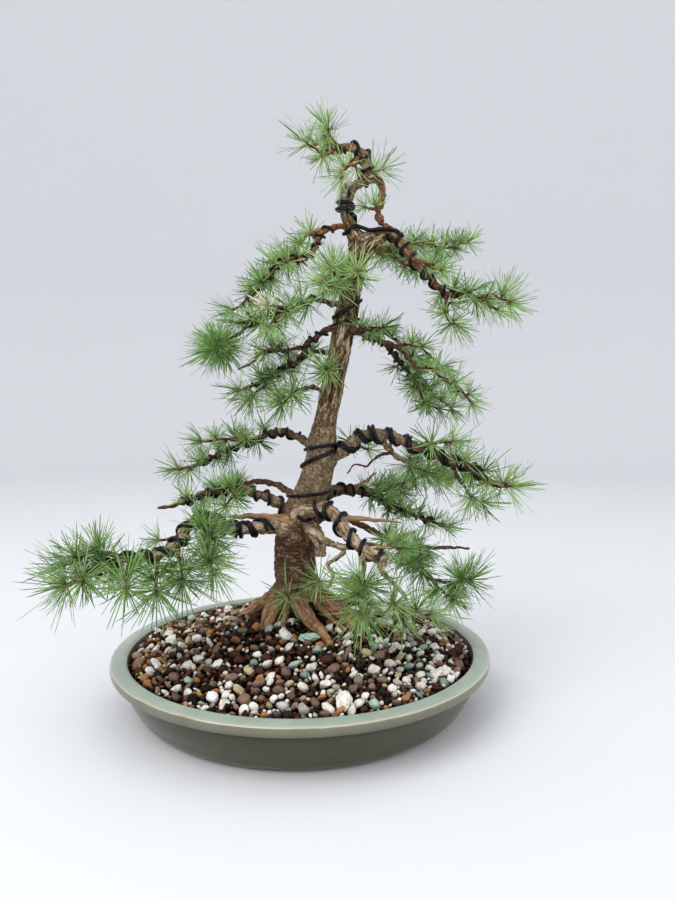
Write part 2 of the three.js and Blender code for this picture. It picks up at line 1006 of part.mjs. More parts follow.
function stoneSolid({ at, half, flat, turn }, growth) {
  const [x, y] = at;
  const stone = new THREE.IcosahedronGeometry(half + growth, 0);
  stone.scale(...STONE_STRETCH, flat).rotateZ(turn);
  return solidOf(stone.translate(x, y, soilHeight(x, y) + half * flat * STONE_RISE));
}

// ---------------------------------------------------------------- wires

// A wire's middle line round its limb, far enough out for its straight facets to clear the bark.
function coilCurve({ limb, from, to, turns, half }, phase) {
  const radiusAt = limbRadius(limb, limbCurve(limb));
  const axis = limbAxis(limb);
  const fine = 200;
  const frames = axis.computeFrenetFrames(fine);
  const steps = Math.round(turns * COIL_STEPS);
  const points = [];
  for (let i = 0; i <= steps; i += 1) {
    const share = from + ((to - from) * i) / steps;
    const angle = phase + (2 * Math.PI * i) / COIL_STEPS;
    const reach = (radiusAt(share) + half + FIT_GAP) / Math.cos(Math.PI / COIL_STEPS);
    const place = axis.getPointAt(share).clone();
    const frame = Math.round(share * fine);
    place.addScaledVector(frames.normals[frame], reach * Math.cos(angle));
    place.addScaledVector(frames.binormals[frame], reach * Math.sin(angle));
    points.push(place);
  }
  return new THREE.CatmullRomCurve3(points);
}

function wireSolid(wire, phase, growth) {
  const curve = coilCurve(wire, phase);
  const steps = Math.round(wire.turns * COIL_STEPS);
  return bentTube(curve, () => wire.half + growth, WIRE_SIDES, steps);
}

// The coil starts at the angle where it meets the least side wood.
function bestPhase(wire, obstacles) {
  const tries = 16;
  let best = { phase: 0, clash: Infinity };
  for (let i = 0; i < tries; i += 1) {
    const phase = (2 * Math.PI * i) / tries;
    const solid = wireSolid(wire, phase, 0);
    const near = obstacles.filter((one) => boxesMeet(solid, one));
    const clash = near.reduce((sum, one) => sum + solid.intersect(one).volume(), 0);
    if (clash < best.clash) best = { phase, clash };
  }
  return best.phase;
}

// ---------------------------------------------------------------- needles

// A cluster's solid: a sleeve with rounded ends along the leafy stretch of each limb that carries it.
function sleeve(name, from, half) {
  const curve = limbCurve(name);
  const leafy = curve.getLength() * (1 - from);
  const steps = Math.max(2, Math.round((leafy + half) / SLEEVE_STEP));
  const points = [];
  for (let i = 0; i <= steps; i += 1) {
    points.push(curve.getPointAt(Math.min(1, from + ((1 - from) * i) / steps)));
  }
  const along = curve.getTangentAt(1).multiplyScalar(half * SLEEVE_END);
  points.push(points[points.length - 1].clone().add(along));
  const body = new THREE.CatmullRomCurve3(points);
  const round = (share) => half * Math.max(0.3, Math.sin(Math.PI * (0.12 + 0.76 * share)) ** 0.6);
  return bentTube(body, round, SLEEVE_SIDES, steps);
}

// The needles stay above the pot's rim and the mound of soil.
function potMargin() {
  const radius = POT_RIM_RADIUS + POT_EDGE;
  const height = POT_LIP_HEIGHT + POT_CREST + POT_EDGE;
  const block = new THREE.CylinderGeometry(radius, radius, height, 24);
  return solidOf(block.rotateX(Math.PI / 2).translate(0, 0, height / 2));
}

function soilMargin() {
  const dome = new THREE.SphereGeometry(1, 20, 10);
  const height = SOIL_CROWN_HEIGHT - SOIL_EDGE_HEIGHT + SOIL_MARGIN;
  dome.rotateX(Math.PI / 2).scale(POT_MOUTH_RADIUS, POT_MOUTH_RADIUS, height);
  return solidOf(dome.translate(SOIL_CROWN_CENTRE.x, SOIL_CROWN_CENTRE.y, SOIL_EDGE_HEIGHT));
}

// ---------------------------------------------------------------- assembly

const MATERIALS = {
  glaze: { color: 0xa9b5a0, roughness: 0.3, metalness: 0 },
  soil: { color: 0x5d4a40, roughness: 0.95, metalness: 0 },
  bark: { color: 0x7a5d48, roughness: 0.9, metalness: 0 },
  wire: { color: 0x1f1f22, roughness: 0.45, metalness: 0.6 },
  needle: { color: 0x5d9a4a, roughness: 0.6, metalness: 0 },
  screen: { color: 0x2b2b2b, roughness: 0.7, metalness: 0 },
  stone: { color: 0xe6e3da, roughness: 0.85, metalness: 0 },
};

const bonsai = new THREE.Group();
bonsai.name = "larch_bonsai";

function place(name, solid, material) {
  const mesh = new THREE.Mesh(geometryOf(solid), new THREE.MeshStandardMaterial(MATERIALS[material]));
  mesh.name = name;
  bonsai.add(mesh);
}

const limbNames = Object.keys(LIMBS);
const wood = joined(limbNames.map((name) => limbSolid(name, 0)));
const woodClearance = limbNames.map((name) => limbSolid(name, FIT_GAP));

const pot = potSolid();
place("pot", pot, "glaze");
place("drainage_screen_left", screenSolid(-DRAIN_OFFSET), "screen");
place("drainage_screen_right", screenSolid(DRAIN_OFFSET), "screen");
place("larch_wood", wood, "bark");

const stones = Object.values(STONES);
const soilWhole = soilSolid();
const stoneClearance = stones.map((one) => stoneSolid(one, FIT_GAP));
const soil = largestBody(cutBy(soilWhole, [...woodClearance, ...stoneClearance]));
place("soil_bed", soil, "soil");
for (const [name, stone] of Object.entries(STONES)) {
  place(name, largestBody(cutBy(stoneSolid(stone, 0), woodClearance)), "stone");
}

const wireClearance = [];
const trunkWireClearance = [];
for (const [name, wire] of Object.entries(WIRES)) {
  const obstacles = [...woodClearance, ...wireClearance];
  const phase = bestPhase(wire, obstacles);
  place(name, largestBody(cutBy(wireSolid(wire, phase, 0), obstacles)), "wire");
  const clearance = wireSolid(wire, phase, FIT_GAP);
  wireClearance.push(clearance);
  if (wire.limb === "trunk") trunkWireClearance.push(clearance);
}

// Around a wired limb the needles start outside the wire.
const coreClearance = limbNames.map((name) => {
  const wound = Object.values(WIRES).find((wire) => wire.limb === name && name !== "trunk");
  return wound ? limbSolid(name, 2 * wound.half + SLEEVE_CORE) : limbSolid(name, FIT_GAP);
});
const ground = [potMargin(), soilMargin()];

const needleClearance = [];
for (const [name, sleeves] of Object.entries(NEEDLES)) {
  const whole = joined(sleeves.map(([limb, from, half]) => sleeve(limb, from, half)));
  const grown = joined(sleeves.map(([limb, from, half]) => sleeve(limb, from, half + FIT_GAP)));
  const cutters = [...needleClearance, ...coreClearance, ...trunkWireClearance, ...ground];
  place(name, largestBody(cutBy(whole, cutters)), "needle");
  needleClearance.push(grown);
}

export default bonsai;
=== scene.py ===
"""A wired larch bonsai in a round celadon pot.

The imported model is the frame, and every piece here stands for some of its nodes, where they are.
The tables hold millimetres in that frame: +Z is up, and the front of the tree faces -Y.
"""

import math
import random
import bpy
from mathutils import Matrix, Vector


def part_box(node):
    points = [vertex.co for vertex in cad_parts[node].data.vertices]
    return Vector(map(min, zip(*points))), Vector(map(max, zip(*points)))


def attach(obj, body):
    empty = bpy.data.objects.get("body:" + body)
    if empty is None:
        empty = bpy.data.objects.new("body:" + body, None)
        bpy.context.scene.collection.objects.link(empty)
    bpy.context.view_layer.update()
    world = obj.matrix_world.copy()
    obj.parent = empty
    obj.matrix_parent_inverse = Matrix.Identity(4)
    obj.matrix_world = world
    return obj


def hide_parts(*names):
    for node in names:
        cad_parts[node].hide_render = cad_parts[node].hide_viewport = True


bl_info = {
    "name": "Larch Bonsai",
    "version": (1, 0, 0),
    "blender": (4, 5, 0),
    "location": "View3D > Sidebar > Bonsai",
    "description": "Builds a wired larch bonsai in a round celadon pot",
    "category": "Object",
}

from typing import NamedTuple

import bmesh
import bpy
import numpy as np
from bpy.props import FloatProperty, FloatVectorProperty, IntProperty, PointerProperty
from mathutils import Vector, noise
from mathutils.bvhtree import BVHTree

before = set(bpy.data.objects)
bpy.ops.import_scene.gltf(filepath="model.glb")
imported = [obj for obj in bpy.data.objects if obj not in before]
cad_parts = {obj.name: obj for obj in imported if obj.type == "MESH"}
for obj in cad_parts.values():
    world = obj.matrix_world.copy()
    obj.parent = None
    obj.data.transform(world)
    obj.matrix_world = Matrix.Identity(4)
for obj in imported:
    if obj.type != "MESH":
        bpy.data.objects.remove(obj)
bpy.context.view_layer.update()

MM = 0.001
# The bark's grain is measured in millimetres, so its patterns need no change of unit.
GRAIN = 1
POT_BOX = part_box("pot")
RIM_RADIUS = POT_BOX[1].x / MM
DRAIN_HOLES = {"left": -48, "right": 48}
DRAIN_RADIUS = 9

# Degrees from each leaf or shoot to the next round a stem, as plants grow them.
GOLDEN_ANGLE = 137.5

# ---------------------------------------------------------------- the tree's limbs

# The trunk's height above the table and its half width there, from the buried root plate to the bare top.
TRUNK_GIRTH = [
    (30, 15), (54, 12.5), (66, 13.5), (78, 14.4), (110, 14.5), (126, 12.5), (160, 11.5), (178, 10.5),
    (190, 8.6), (225, 8.0), (245, 7.8), (260, 8.4), (278, 7.4), (303, 6.6), (318, 7.6), (327, 5.2),
    (336, 3.9), (345, 5.1), (353, 4.8), (360, 3.8),
]

# Each limb's half width at its root and tip, its skin, and points along its middle from inside its parent.
LIMBS = {
    "trunk": (23, 3.8, "bark", [
        (-7, 10, 30), (-7, 11, 58), (-6, 12, 81), (-6, 11, 106), (-3, 11, 123), (6, 11, 141),
        (12, 10, 161), (14, 10, 180), (19, 10, 206), (26, 9, 242), (33, 9, 278), (38, 8, 302),
        (39, 8, 318), (33, 7, 330), (30, 6, 343), (34, 5, 358),
    ]),
    "root_left": (8, 3.5, "bark", [(-13, 4, 72), (-19, -4, 64), (-23, -12, 56), (-26, -22, 44)]),
    "root_front": (7, 2.2, "bark", [(-4, -2, 72), (0, -15, 64), (8, -25, 57), (16, -33, 51), (22, -38, 42)]),
    "root_right": (8, 2.2, "bark", [(5, 8, 70), (15, 1, 65), (24, -7, 60), (33, -14, 54), (42, -21, 44)]),
    "root_far_right": (8, 3.5, "bark", [(4, 16, 70), (18, 24, 60), (34, 34, 47)]),
    "root_back": (9, 3.5, "bark", [(-11, 20, 70), (-20, 36, 60), (-32, 50, 46)]),
    "root_far_left": (7, 3, "bark", [(-16, 14, 68), (-34, 18, 56), (-50, 18, 44)]),
    "rootlet_left": (2.4, 1.1, "bark", [(-8, 0, 72), (-11, -13, 62), (-12, -22, 55), (-9, -31, 49)]),
    "rootlet_right": (2.6, 1.2, "bark", [(4, 0, 74), (11, -11, 66), (21, -19, 58), (31, -23, 51)]),
    "leader": (3.6, 2.7, "twig", [
        (31, 7, 336), (31, 7, 346), (35, 5, 355), (43, 4, 361), (45, 3, 370), (43, 2, 377), (33, 1, 381),
        (24, 0, 379),
    ]),
    "leader_left": (1.7, 0.9, "twig", [(27, 1, 379), (22, -2, 384), (19, -4, 389)]),
    "apex_tip": (1.5, 1, "twig", [(21, 0, 382), (15, 0, 386), (19, 2, 391), (18, 3, 395)]),
    "apex_left": (1.6, 0.9, "twig", [(25, 0, 379), (15, -4, 375), (6, -8, 379)]),
    "apex_low": (1.6, 0.8, "twig", [(39, 4, 379), (38, -1, 369), (33, -5, 366), (28, -8, 359)]),
    "apex_right": (1.5, 0.9, "twig", [(44, 5, 361), (49, 6, 365), (54, 8, 368)]),
    "apex_back": (1.5, 0.8, "twig", [(42, 3, 377), (38, 14, 379), (30, 24, 376)]),
    "hook": (3.2, 1.9, "twig", [
        (42, 5, 361), (51, 5, 362), (55, 4, 356), (56, 3, 347), (53, 2, 338), (56, 1, 329), (63, 0, 324),
    ]),
    "hook_side": (1.3, 0.8, "twig", [(54, 3, 341), (50, 0, 339), (46, -3, 338)]),
    "top_left": (2.2, 1.1, "twig", [
        (36, 8, 325), (28, 6, 329), (19, 4, 327), (13, 3, 321), (9, 1, 312), (3, -2, 305), (-7, -4, 304),
        (-15, -6, 300), (-22, -8, 290), (-33, -10, 279), (-44, -12, 268),
    ]),
    "top_left_side": (1.4, 0.8, "twig", [(16, 4, 325), (7, 6, 324), (-2, 8, 318), (-9, 9, 310)]),
    "top_left_back": (1.4, 0.8, "twig", [(3, -2, 305), (-8, 8, 308), (-20, 18, 303), (-30, 28, 294)]),
    "fork_flare": (5.6, 3.6, "bark", [(36, 7, 286), (39, 6, 299), (44, 5, 310), (51, 5, 318), (58, 4, 322)]),
    "top_right": (4.2, 1.2, "twig", [
        (39, 8, 315), (47, 6, 321), (56, 4, 324), (64, 2, 322), (69, -1, 315), (74, -3, 306),
        (81, -5, 298), (89, -8, 289), (98, -12, 279), (110, -14, 278), (120, -16, 274), (129, -18, 268),
    ]),
    "top_right_end": (1.2, 0.8, "twig", [(118, -15, 275), (127, -22, 276), (135, -28, 270)]),
    "top_right_low": (1.4, 0.8, "twig", [
        (98, -12, 280), (99, -13, 270), (99, -15, 263), (103, -17, 257),
    ]),
    "top_right_near": (1.4, 0.8, "twig", [(74, -3, 305), (80, -16, 299), (90, -30, 291)]),
    "top_back": (2.4, 0.9, "twig", [
        (42, 12, 316), (54, 22, 316), (70, 34, 322), (86, 43, 327), (102, 52, 326), (116, 58, 329),
        (126, 63, 333),
    ]),
    "top_back_low": (1.4, 0.8, "twig", [(60, 24, 317), (72, 36, 311), (86, 46, 309), (102, 56, 312)]),
    "top_rear": (2, 0.9, "twig", [(38, 10, 300), (34, 26, 304), (26, 44, 302), (16, 60, 296)]),
    "crown_front": (1.7, 0.9, "twig", [(34, 4, 276), (31, -7, 283), (26, -18, 287), (21, -30, 291)]),
    "crown_front_left": (1.4, 0.8, "twig", [(28, -10, 284), (22, -20, 282), (16, -31, 281)]),
    "crown_front_right": (1.4, 0.8, "twig", [(32, -4, 281), (36, -15, 286), (37, -28, 289)]),
    "upper_left": (2.2, 1, "twig", [
        (30, 5, 273), (17, -3, 275), (7, -7, 275), (-2, -12, 270), (-12, -17, 267), (-25, -21, 260),
        (-36, -26, 257),
    ]),
    "upper_left_globe": (1.4, 0.9, "twig", [
        (-24, -21, 260), (-35, -25, 254), (-45, -28, 246), (-54, -30, 240),
    ]),
    "upper_left_pale": (1.3, 0.8, "twig", [(-7, -14, 269), (-14, -20, 268), (-20, -25, 268)]),
    "upper_left_low": (1.3, 0.8, "twig", [(-10, -16, 268), (-15, -22, 261), (-19, -28, 255)]),
    "mid_left": (2.6, 1, "twig", [
        (29, 6, 258), (20, 5, 258), (11, 6, 252), (3, 7, 247), (1, 8, 240), (-4, 10, 234), (-12, 12, 232),
        (-19, 13, 226), (-30, 16, 221), (-45, 20, 216),
    ]),
    "mid_left_side": (1.5, 0.8, "twig", [
        (2, 7, 245), (-15, 12, 243), (-30, 17, 242), (-38, 22, 235), (-49, 28, 231),
    ]),
    "mid_left_tip": (1.2, 0.8, "twig", [(-19, 13, 226), (-29, 20, 218), (-40, 28, 210)]),
    "mid_left_back": (1.8, 0.8, "twig", [(24, 14, 240), (10, 30, 244), (-6, 46, 242), (-22, 60, 234)]),
    "low_twig": (1.8, 0.9, "twig", [(18, 6, 212), (8, -2, 216), (-5, -9, 212), (-12, -16, 205)]),
    "trunk_front": (1.4, 0.8, "twig", [(24, 2, 224), (21, -11, 224), (18, -23, 226)]),
    "mid_right": (2.6, 1, "twig", [
        (28, 11, 252), (39, 16, 257), (49, 21, 253), (58, 25, 250), (67, 31, 241), (79, 38, 229),
        (90, 44, 222), (100, 49, 212), (112, 53, 204),
    ]),
    "mid_right_near": (1.8, 0.9, "twig", [
        (56, 24, 251), (66, 16, 247), (75, 11, 238), (82, 7, 230), (91, 3, 229), (99, -2, 222),
        (109, -6, 215), (115, -10, 206),
    ]),
    "mid_right_top": (1, 0.7, "twig", [(66, 16, 247), (79, 18, 248), (89, 21, 243), (101, 24, 234)]),
    "mid_right_low": (1.3, 0.8, "twig", [(80, 39, 229), (85, 36, 218), (90, 38, 209), (101, 42, 202)]),
    "mid_right_stub": (1.4, 0.8, "twig", [(30, 6, 252), (42, -2, 256), (54, -11, 256)]),
    "mid_rear": (2.2, 0.9, "twig", [
        (28, 12, 250), (45, 40, 262), (70, 62, 258), (90, 80, 238), (98, 94, 218),
    ]),
    "low_left": (3, 1, "twig", [
        (12, 12, 172), (-2, 16, 180), (-10, 20, 184), (-18, 24, 185), (-27, 29, 183), (-45, 35, 175),
        (-60, 40, 171), (-80, 48, 160), (-98, 53, 155),
    ]),
    "low_left_up": (1.4, 0.8, "twig", [(-40, 33, 177), (-55, 26, 179), (-73, 20, 178)]),
    "left_two": (4.4, 1.1, "twig", [
        (2, 10, 120), (-12, 7, 129), (-18, 6, 134), (-30, 4, 140), (-48, 1, 145), (-60, -1, 143),
        (-70, -3, 141), (-81, -4, 136), (-100, -8, 133),
    ]),
    "left_two_near": (1.3, 0.8, "twig", [(-44, 2, 144), (-48, -10, 140), (-50, -22, 136)]),
    "left_back": (2.8, 1, "twig", [
        (-3, 16, 134), (-19, 38, 143), (-38, 58, 145), (-60, 78, 138), (-82, 96, 129),
    ]),
    "left_back_side": (1.4, 0.8, "twig", [(-46, 65, 143), (-60, 82, 141), (-66, 100, 134)]),
    "left_spike": (4.4, 0.9, "dead", [(-4, 4, 120), (-20, 0, 124), (-35, -3, 126), (-52, -6, 126)]),
    "left_low": (5.0, 2.0, "worn", [
        (-6, 6, 112), (-21, -7, 119), (-31, -13, 120), (-43, -20, 119), (-54, -27, 125), (-62, -34, 130),
        (-70, -40, 126), (-77, -48, 115), (-88, -58, 109), (-102, -68, 110), (-114, -78, 107),
        (-127, -92, 101),
    ]),
    "left_low_out": (1.6, 0.9, "twig", [
        (-103, -68, 110), (-113, -72, 114), (-123, -77, 115), (-132, -82, 110),
    ]),
    "left_low_in": (1.8, 0.9, "twig", [(-64, -35, 129), (-58, -48, 122), (-54, -56, 112), (-52, -63, 102)]),
    "left_low_under": (1.6, 0.9, "twig", [(-86, -57, 110), (-84, -70, 103), (-81, -81, 95)]),
    "left_low_near": (1.5, 0.9, "twig", [(-77, -48, 114), (-73, -60, 107), (-68, -72, 99)]),
    "left_low_mid": (1.6, 0.9, "twig", [(-99, -66, 110), (-99, -77, 104), (-96, -89, 98)]),
    "left_low_up": (1.3, 0.8, "twig", [(-72, -42, 123), (-80, -47, 118), (-86, -51, 118)]),
    "right_one": (4.8, 1.8, "twig", [
        (14, 9, 160), (25, 5, 168), (32, 2, 175), (42, -2, 182), (54, -5, 184), (66, -9, 181),
        (81, -15, 174), (99, -21, 167), (114, -24, 161), (125, -29, 153), (137, -34, 150),
    ]),
    "right_one_under": (3.0, 0.9, "worn", [
        (54, -4, 183), (60, 6, 175), (67, 11, 168), (82, 18, 161), (98, 24, 151),
    ]),
    "right_one_bare": (1.1, 0.5, "twig", [
        (64, 9, 170), (54, 4, 168), (45, 0, 161), (37, -5, 162), (31, -9, 156),
    ]),
    "right_one_side": (1.4, 0.8, "twig", [(100, -21, 167), (108, -12, 153), (116, -4, 143), (126, 4, 135)]),
    "right_one_top": (1.4, 0.8, "twig", [(82, -15, 174), (90, -20, 178), (99, -27, 179)]),
    "right_upper_stub": (1.6, 0.8, "twig", [(18, 10, 174), (33, 16, 178), (46, 26, 172)]),
    "right_two": (3.6, 1, "twig", [
        (4, 14, 134), (20, 22, 142), (32, 28, 142), (43, 35, 139), (55, 41, 134), (68, 47, 125),
        (80, 54, 120), (92, 60, 115), (112, 66, 107),
    ]),
    "right_two_spike": (1.6, 0.6, "dead", [(36, 30, 141), (45, 26, 148), (54, 24, 155)]),
    "right_back": (3.2, 1, "twig", [
        (6, 18, 132), (28, 42, 138), (52, 62, 136), (82, 84, 142), (112, 100, 150),
    ]),
    "right_back_side": (1.5, 0.8, "twig", [(59, 68, 136), (74, 90, 136), (82, 106, 130)]),
    "right_front": (5.2, 3.6, "tan", [
        (-5, 5, 124), (5, -7, 131), (17, -13, 132), (24, -19, 129), (28, -26, 122), (35, -33, 115),
        (44, -39, 109), (55, -48, 103),
    ]),
    "right_front_twig": (1.8, 1, "tan", [(50, -44, 106), (54, -53, 97), (62, -60, 90), (68, -66, 84)]),
    "right_front_drop": (1.7, 0.9, "tan", [(40, -36, 112), (41, -48, 100), (39, -58, 89), (39, -67, 79)]),
    "right_front_end": (1.3, 0.8, "tan", [(61, -58, 91), (58, -65, 80), (68, -66, 76), (79, -66, 75)]),
    "right_front_side": (1.6, 0.8, "tan", [(44, -39, 109), (55, -41, 112), (64, -43, 111)]),
    "right_front_spike": (3, 0.6, "dead", [(12, -6, 130), (28, 2, 124), (46, 2, 123), (69, -2, 122)]),
    "right_low": (3, 1, "twig", [
        (2, 14, 116), (20, 16, 124), (33, 19, 121), (46, 22, 114), (58, 26, 107), (73, 29, 101),
        (97, 34, 97), (126, 40, 95),
    ]),
    "right_low_leaf": (1.4, 0.8, "twig", [(56, 25, 108), (67, 18, 102), (75, 12, 95), (83, 6, 88)]),
    "fork": (3, 1.2, "tan", [(8, -4, 116), (20, -16, 109), (31, -25, 109), (42, -30, 112), (53, -33, 111)]),
    "curl": (1.7, 1, "tan", [
        (24, -20, 110), (29, -24, 105), (24, -25, 101), (19, -25, 97), (21, -26, 90), (20, -27, 83),
        (13, -27, 81), (6, -26, 80),
    ]),
    "knee": (5, 3.8, "tan", [(4, 3, 121), (9, -2, 114), (12, -4, 106), (12.5, -5, 98)]),
    "right_end": (1.7, 0.9, "twig", [
        (70, 28, 102), (81, 15, 92), (89, 2, 83), (100, -11, 81), (112, -23, 86),
    ]),
    "right_end_low": (1.3, 0.8, "twig", [(87, 4, 85), (94, -13, 79), (100, -26, 74)]),
    "base_shoot": (1.6, 0.8, "twig", [(-2, -4, 76), (-5, -18, 79), (-7, -34, 78)]),
    "base_shoot_right": (1.5, 0.8, "twig", [(1, 4, 84), (9, -14, 87), (12, -30, 87)]),
}

# Each cluster of needles: the limbs that carry it, the share of each where it starts, its needles' length
# and, on a twig with a bare end, the share where it stops.
CLUSTERS = {
    "apex": [
        ("leader", 0.97, 14), ("leader_left", 0.5, 15), ("apex_tip", 0.85, 17), ("apex_left", 0.2, 18),
        ("apex_back", 0.7, 11),
    ],
    "apex_right": [("apex_right", 0.3, 17)],
    "apex_low": [("apex_low", 0.45, 16)],
    "hook": [("hook_side", 0.3, 13)],
    "top_left": [("top_left", 0.46, 16), ("top_left_side", 0.3, 16), ("top_left_back", 0.2, 14)],
    "top_right": [
        ("top_right", 0.68, 16), ("top_right_end", 0.2, 18), ("top_right_low", 0.3, 16),
        ("top_right_near", 0.6, 13),
    ],
    "top_back": [("top_back", 0.12, 14), ("top_back_low", 0.0, 15)],
    "top_rear": [("top_rear", 0.3, 14)],
    "crown_front": [("crown_front", 0.45, 18), ("crown_front_left", 0.4, 18), ("crown_front_right", 0.4, 17)],
    "upper_left": [("upper_left", 0.35, 16), ("upper_left_low", 0.1, 16), ("upper_left_pale", 0.8, 13)],
    "upper_left_globe": [("upper_left_globe", 0.84, 18)],
    "mid_left": [("mid_left", 0.62, 16), ("mid_left_side", 0.2, 16, 0.6), ("mid_left_tip", 0.2, 17)],
    "mid_left_back": [("mid_left_back", 0.3, 14)],
    "low_twig": [("low_twig", 0.55, 17)],
    "trunk_front": [("trunk_front", 0.7, 17)],
    "mid_right": [("mid_right", 0.5, 15), ("mid_right_low", 0.1, 15)],
    "mid_right_near": [("mid_right_near", 0.5, 14), ("mid_right_top", 0.3, 13)],
    "mid_right_stub": [("mid_right_stub", 0.4, 14)],
    "mid_rear": [("mid_rear", 0.3, 15)],
    "low_left": [("low_left", 0.36, 16), ("low_left_up", 0.1, 15)],
    "left_two": [("left_two", 0.52, 15, 0.8), ("left_two_near", 0.5, 16)],
    "left_back": [("left_back", 0.62, 14), ("left_back_side", 0.3, 14)],
    "left_low": [
        ("left_low", 0.84, 21), ("left_low_out", 0.3, 18), ("left_low_mid", 0.4, 21),
        ("left_low_under", 0.55, 23), ("left_low_near", 0.5, 21),
    ],
    "left_low_in": [("left_low_in", 0.1, 20)],
    "left_low_up": [("left_low_up", 0.8, 11)],
    "right_one": [("right_one", 0.7, 17), ("right_one_side", 0.3, 18), ("right_one_top", 0.3, 17)],
    "right_one_under": [("right_one_under", 0.55, 20)],
    "right_upper_stub": [("right_upper_stub", 0.5, 14)],
    "right_two": [("right_two", 0.36, 15)],
    "right_back": [("right_back", 0.5, 15), ("right_back_side", 0.1, 15)],
    "right_front": [("right_front_drop", 0.5, 24)],
    "right_front_end": [("right_front_end", 0.35, 19), ("right_front_side", 0.4, 17)],
    "right_low": [("right_low_leaf", 0.1, 18), ("right_low", 0.5, 15, 0.78)],
    "right_end": [("right_end", 0.2, 17, 0.45), ("right_end", 0.78, 20), ("right_end_low", 0.6, 14)],
    "base": [("base_shoot", 0.8, 19)],
    "base_right": [("base_shoot_right", 0.8, 18)],
}

# How many times closer together the tufts of these limbs stand than the others'.
CROWDED = {
    "apex_low": 1.2, "apex_left": 1.5, "top_left": 1.1, "top_back": 1.8, "top_back_low": 2.0,
    "top_right": 1.3, "top_right_low": 1.5,
    "crown_front": 1.6, "crown_front_left": 1.6, "crown_front_right": 1.4, "upper_left": 1.3,
    "upper_left_low": 1.8, "upper_left_globe": 6, "mid_left": 1.1, "mid_left_side": 1.8,
    "trunk_front": 1.6, "low_twig": 1.4,
    "mid_right": 1.3, "mid_right_near": 1.2, "mid_right_low": 1.6, "low_left": 1.2, "low_left_up": 1.2,
    "left_low": 1.6, "left_low_in": 2.0, "left_low_mid": 1.7, "left_low_under": 2.0, "left_low_near": 1.8,
    "left_low_out": 1.6, "right_one": 1.3, "right_one_under": 1.9, "right_two": 1.3, "right_front_drop": 1.8,
    "right_front_end": 1.6, "right_front_side": 1.5, "right_end": 2.2, "right_low": 1.2,
    "right_low_leaf": 1.6,
}

# How many times as many needles the tufts of these clusters have as the others'.
FULLNESS = {
    "apex": 0.7, "apex_right": 0.7, "apex_low": 0.7, "hook": 0.65, "base": 0.65, "base_right": 0.65,
    "crown_front": 0.9, "upper_left_globe": 4, "trunk_front": 1.4, "left_low": 1.15, "left_low_in": 1.15,
    "right_front": 1.35, "right_end": 1.25,
}

# Each wire's limb, the two shares of it between which it winds, its turns, its half width, and its strands.
COILS = {
    "wire_apex": ("leader", 0.4, 0.97, 4, 1.1, 1),
    "wire_top_left": ("top_left", 0.14, 0.86, 9, 0.95, 1),
    "wire_top_right": ("top_right", 0.2, 0.86, 8, 1.15, 1),
    "wire_upper_left": ("upper_left", 0.3, 0.98, 6, 0.9, 1),
    "wire_mid_left": ("mid_left", 0.14, 0.94, 9, 0.9, 1),
    "wire_mid_right": ("mid_right", 0.14, 0.88, 10, 0.95, 1),
    "wire_low_left": ("low_left", 0.14, 0.86, 9, 0.95, 1),
    "wire_left_two": ("left_two", 0.16, 0.88, 8, 1.2, 1),
    "wire_left_low": ("left_low", 0.14, 0.9, 11, 1.25, 2),
    "wire_right_one": ("right_one", 0.12, 0.88, 9, 1.2, 2),
    "wire_right_two": ("right_two", 0.16, 0.9, 11, 1.1, 1),
    "wire_right_front": ("right_front", 0.12, 0.96, 6, 1.35, 1),
}

# Wires round the trunk: degrees round it (0 at the front, 90 at the right) and height, and their half width.
# The one of left_two crosses the front of the trunk on its way to that branch.
TRUNK_WIRES = {
    "wire_neck": (1.35, [
        (36, 328.5), (0, 326.5), (-60, 323.5), (-110, 324.5), (-200, 330), (-290, 336), (-360, 339.5),
        (-450, 340.5), (-540, 341.5), (-630, 342.5), (-720, 343.5), (-790, 344.5),
    ]),
    "wire_trunk_upper": (1.0, [
        (95, 279), (0, 270), (-90, 265.5), (-180, 264), (-270, 265), (-360, 262), (-450, 258.5), (-520, 256),
    ]),
    "wire_trunk_lower": (1.3, [
        (100, 177), (0, 175), (-90, 172), (-180, 172), (-270, 174.5), (-360, 168), (-450, 160), (-540, 157),
    ]),
    "wire_left_two": (1.15, [(-115, 138), (-60, 139.5), (0, 141), (60, 142), (115, 144)]),
}

# Where a wire comes from before it crosses the trunk: places inside a branch, each with the way out to the
# wire and the branch's half width.
LEADS = {
    "wire_neck": [
        ((69, -1, 316), (0.35, -0.65, 0.7), 3.6), ((63, 2, 321), (0.15, -0.7, 0.72), 3.9),
        ((55, 4, 322), (0, -0.75, 0.66), 4.2), ((47, 6, 321), (0, -0.75, 0.66), 5),
    ],
}

# ---------------------------------------------------------------- settings


def linear(hex_code):
    """An sRGB hex colour as linear red, green and blue."""
    channels = [int(hex_code[i : i + 2], 16) / 255 for i in (1, 3, 5)]
    return tuple(c / 12.92 if c <= 0.04045 else ((c + 0.055) / 1.055) ** 2.4 for c in channels)


def colour(name, description, hex_code):
    """A colour that a user can change, with its default from a hex code."""
    return FloatVectorProperty(
        name=name, description=description, subtype="COLOR", size=3, min=0, max=1, default=linear(hex_code)
    )


def length(name, description, millimetres):
    """A length that a user can change, with its default in millimetres."""
    return FloatProperty(
        name=name, description=description, unit="LENGTH", min=0, max=1, precision=5, default=millimetres * MM
    )


def number(name, description, default, least=0, unit="NONE"):
    """A strength, a power or a focal length that a user can change."""
    return FloatProperty(name=name, description=description, default=default, min=least, unit=unit)


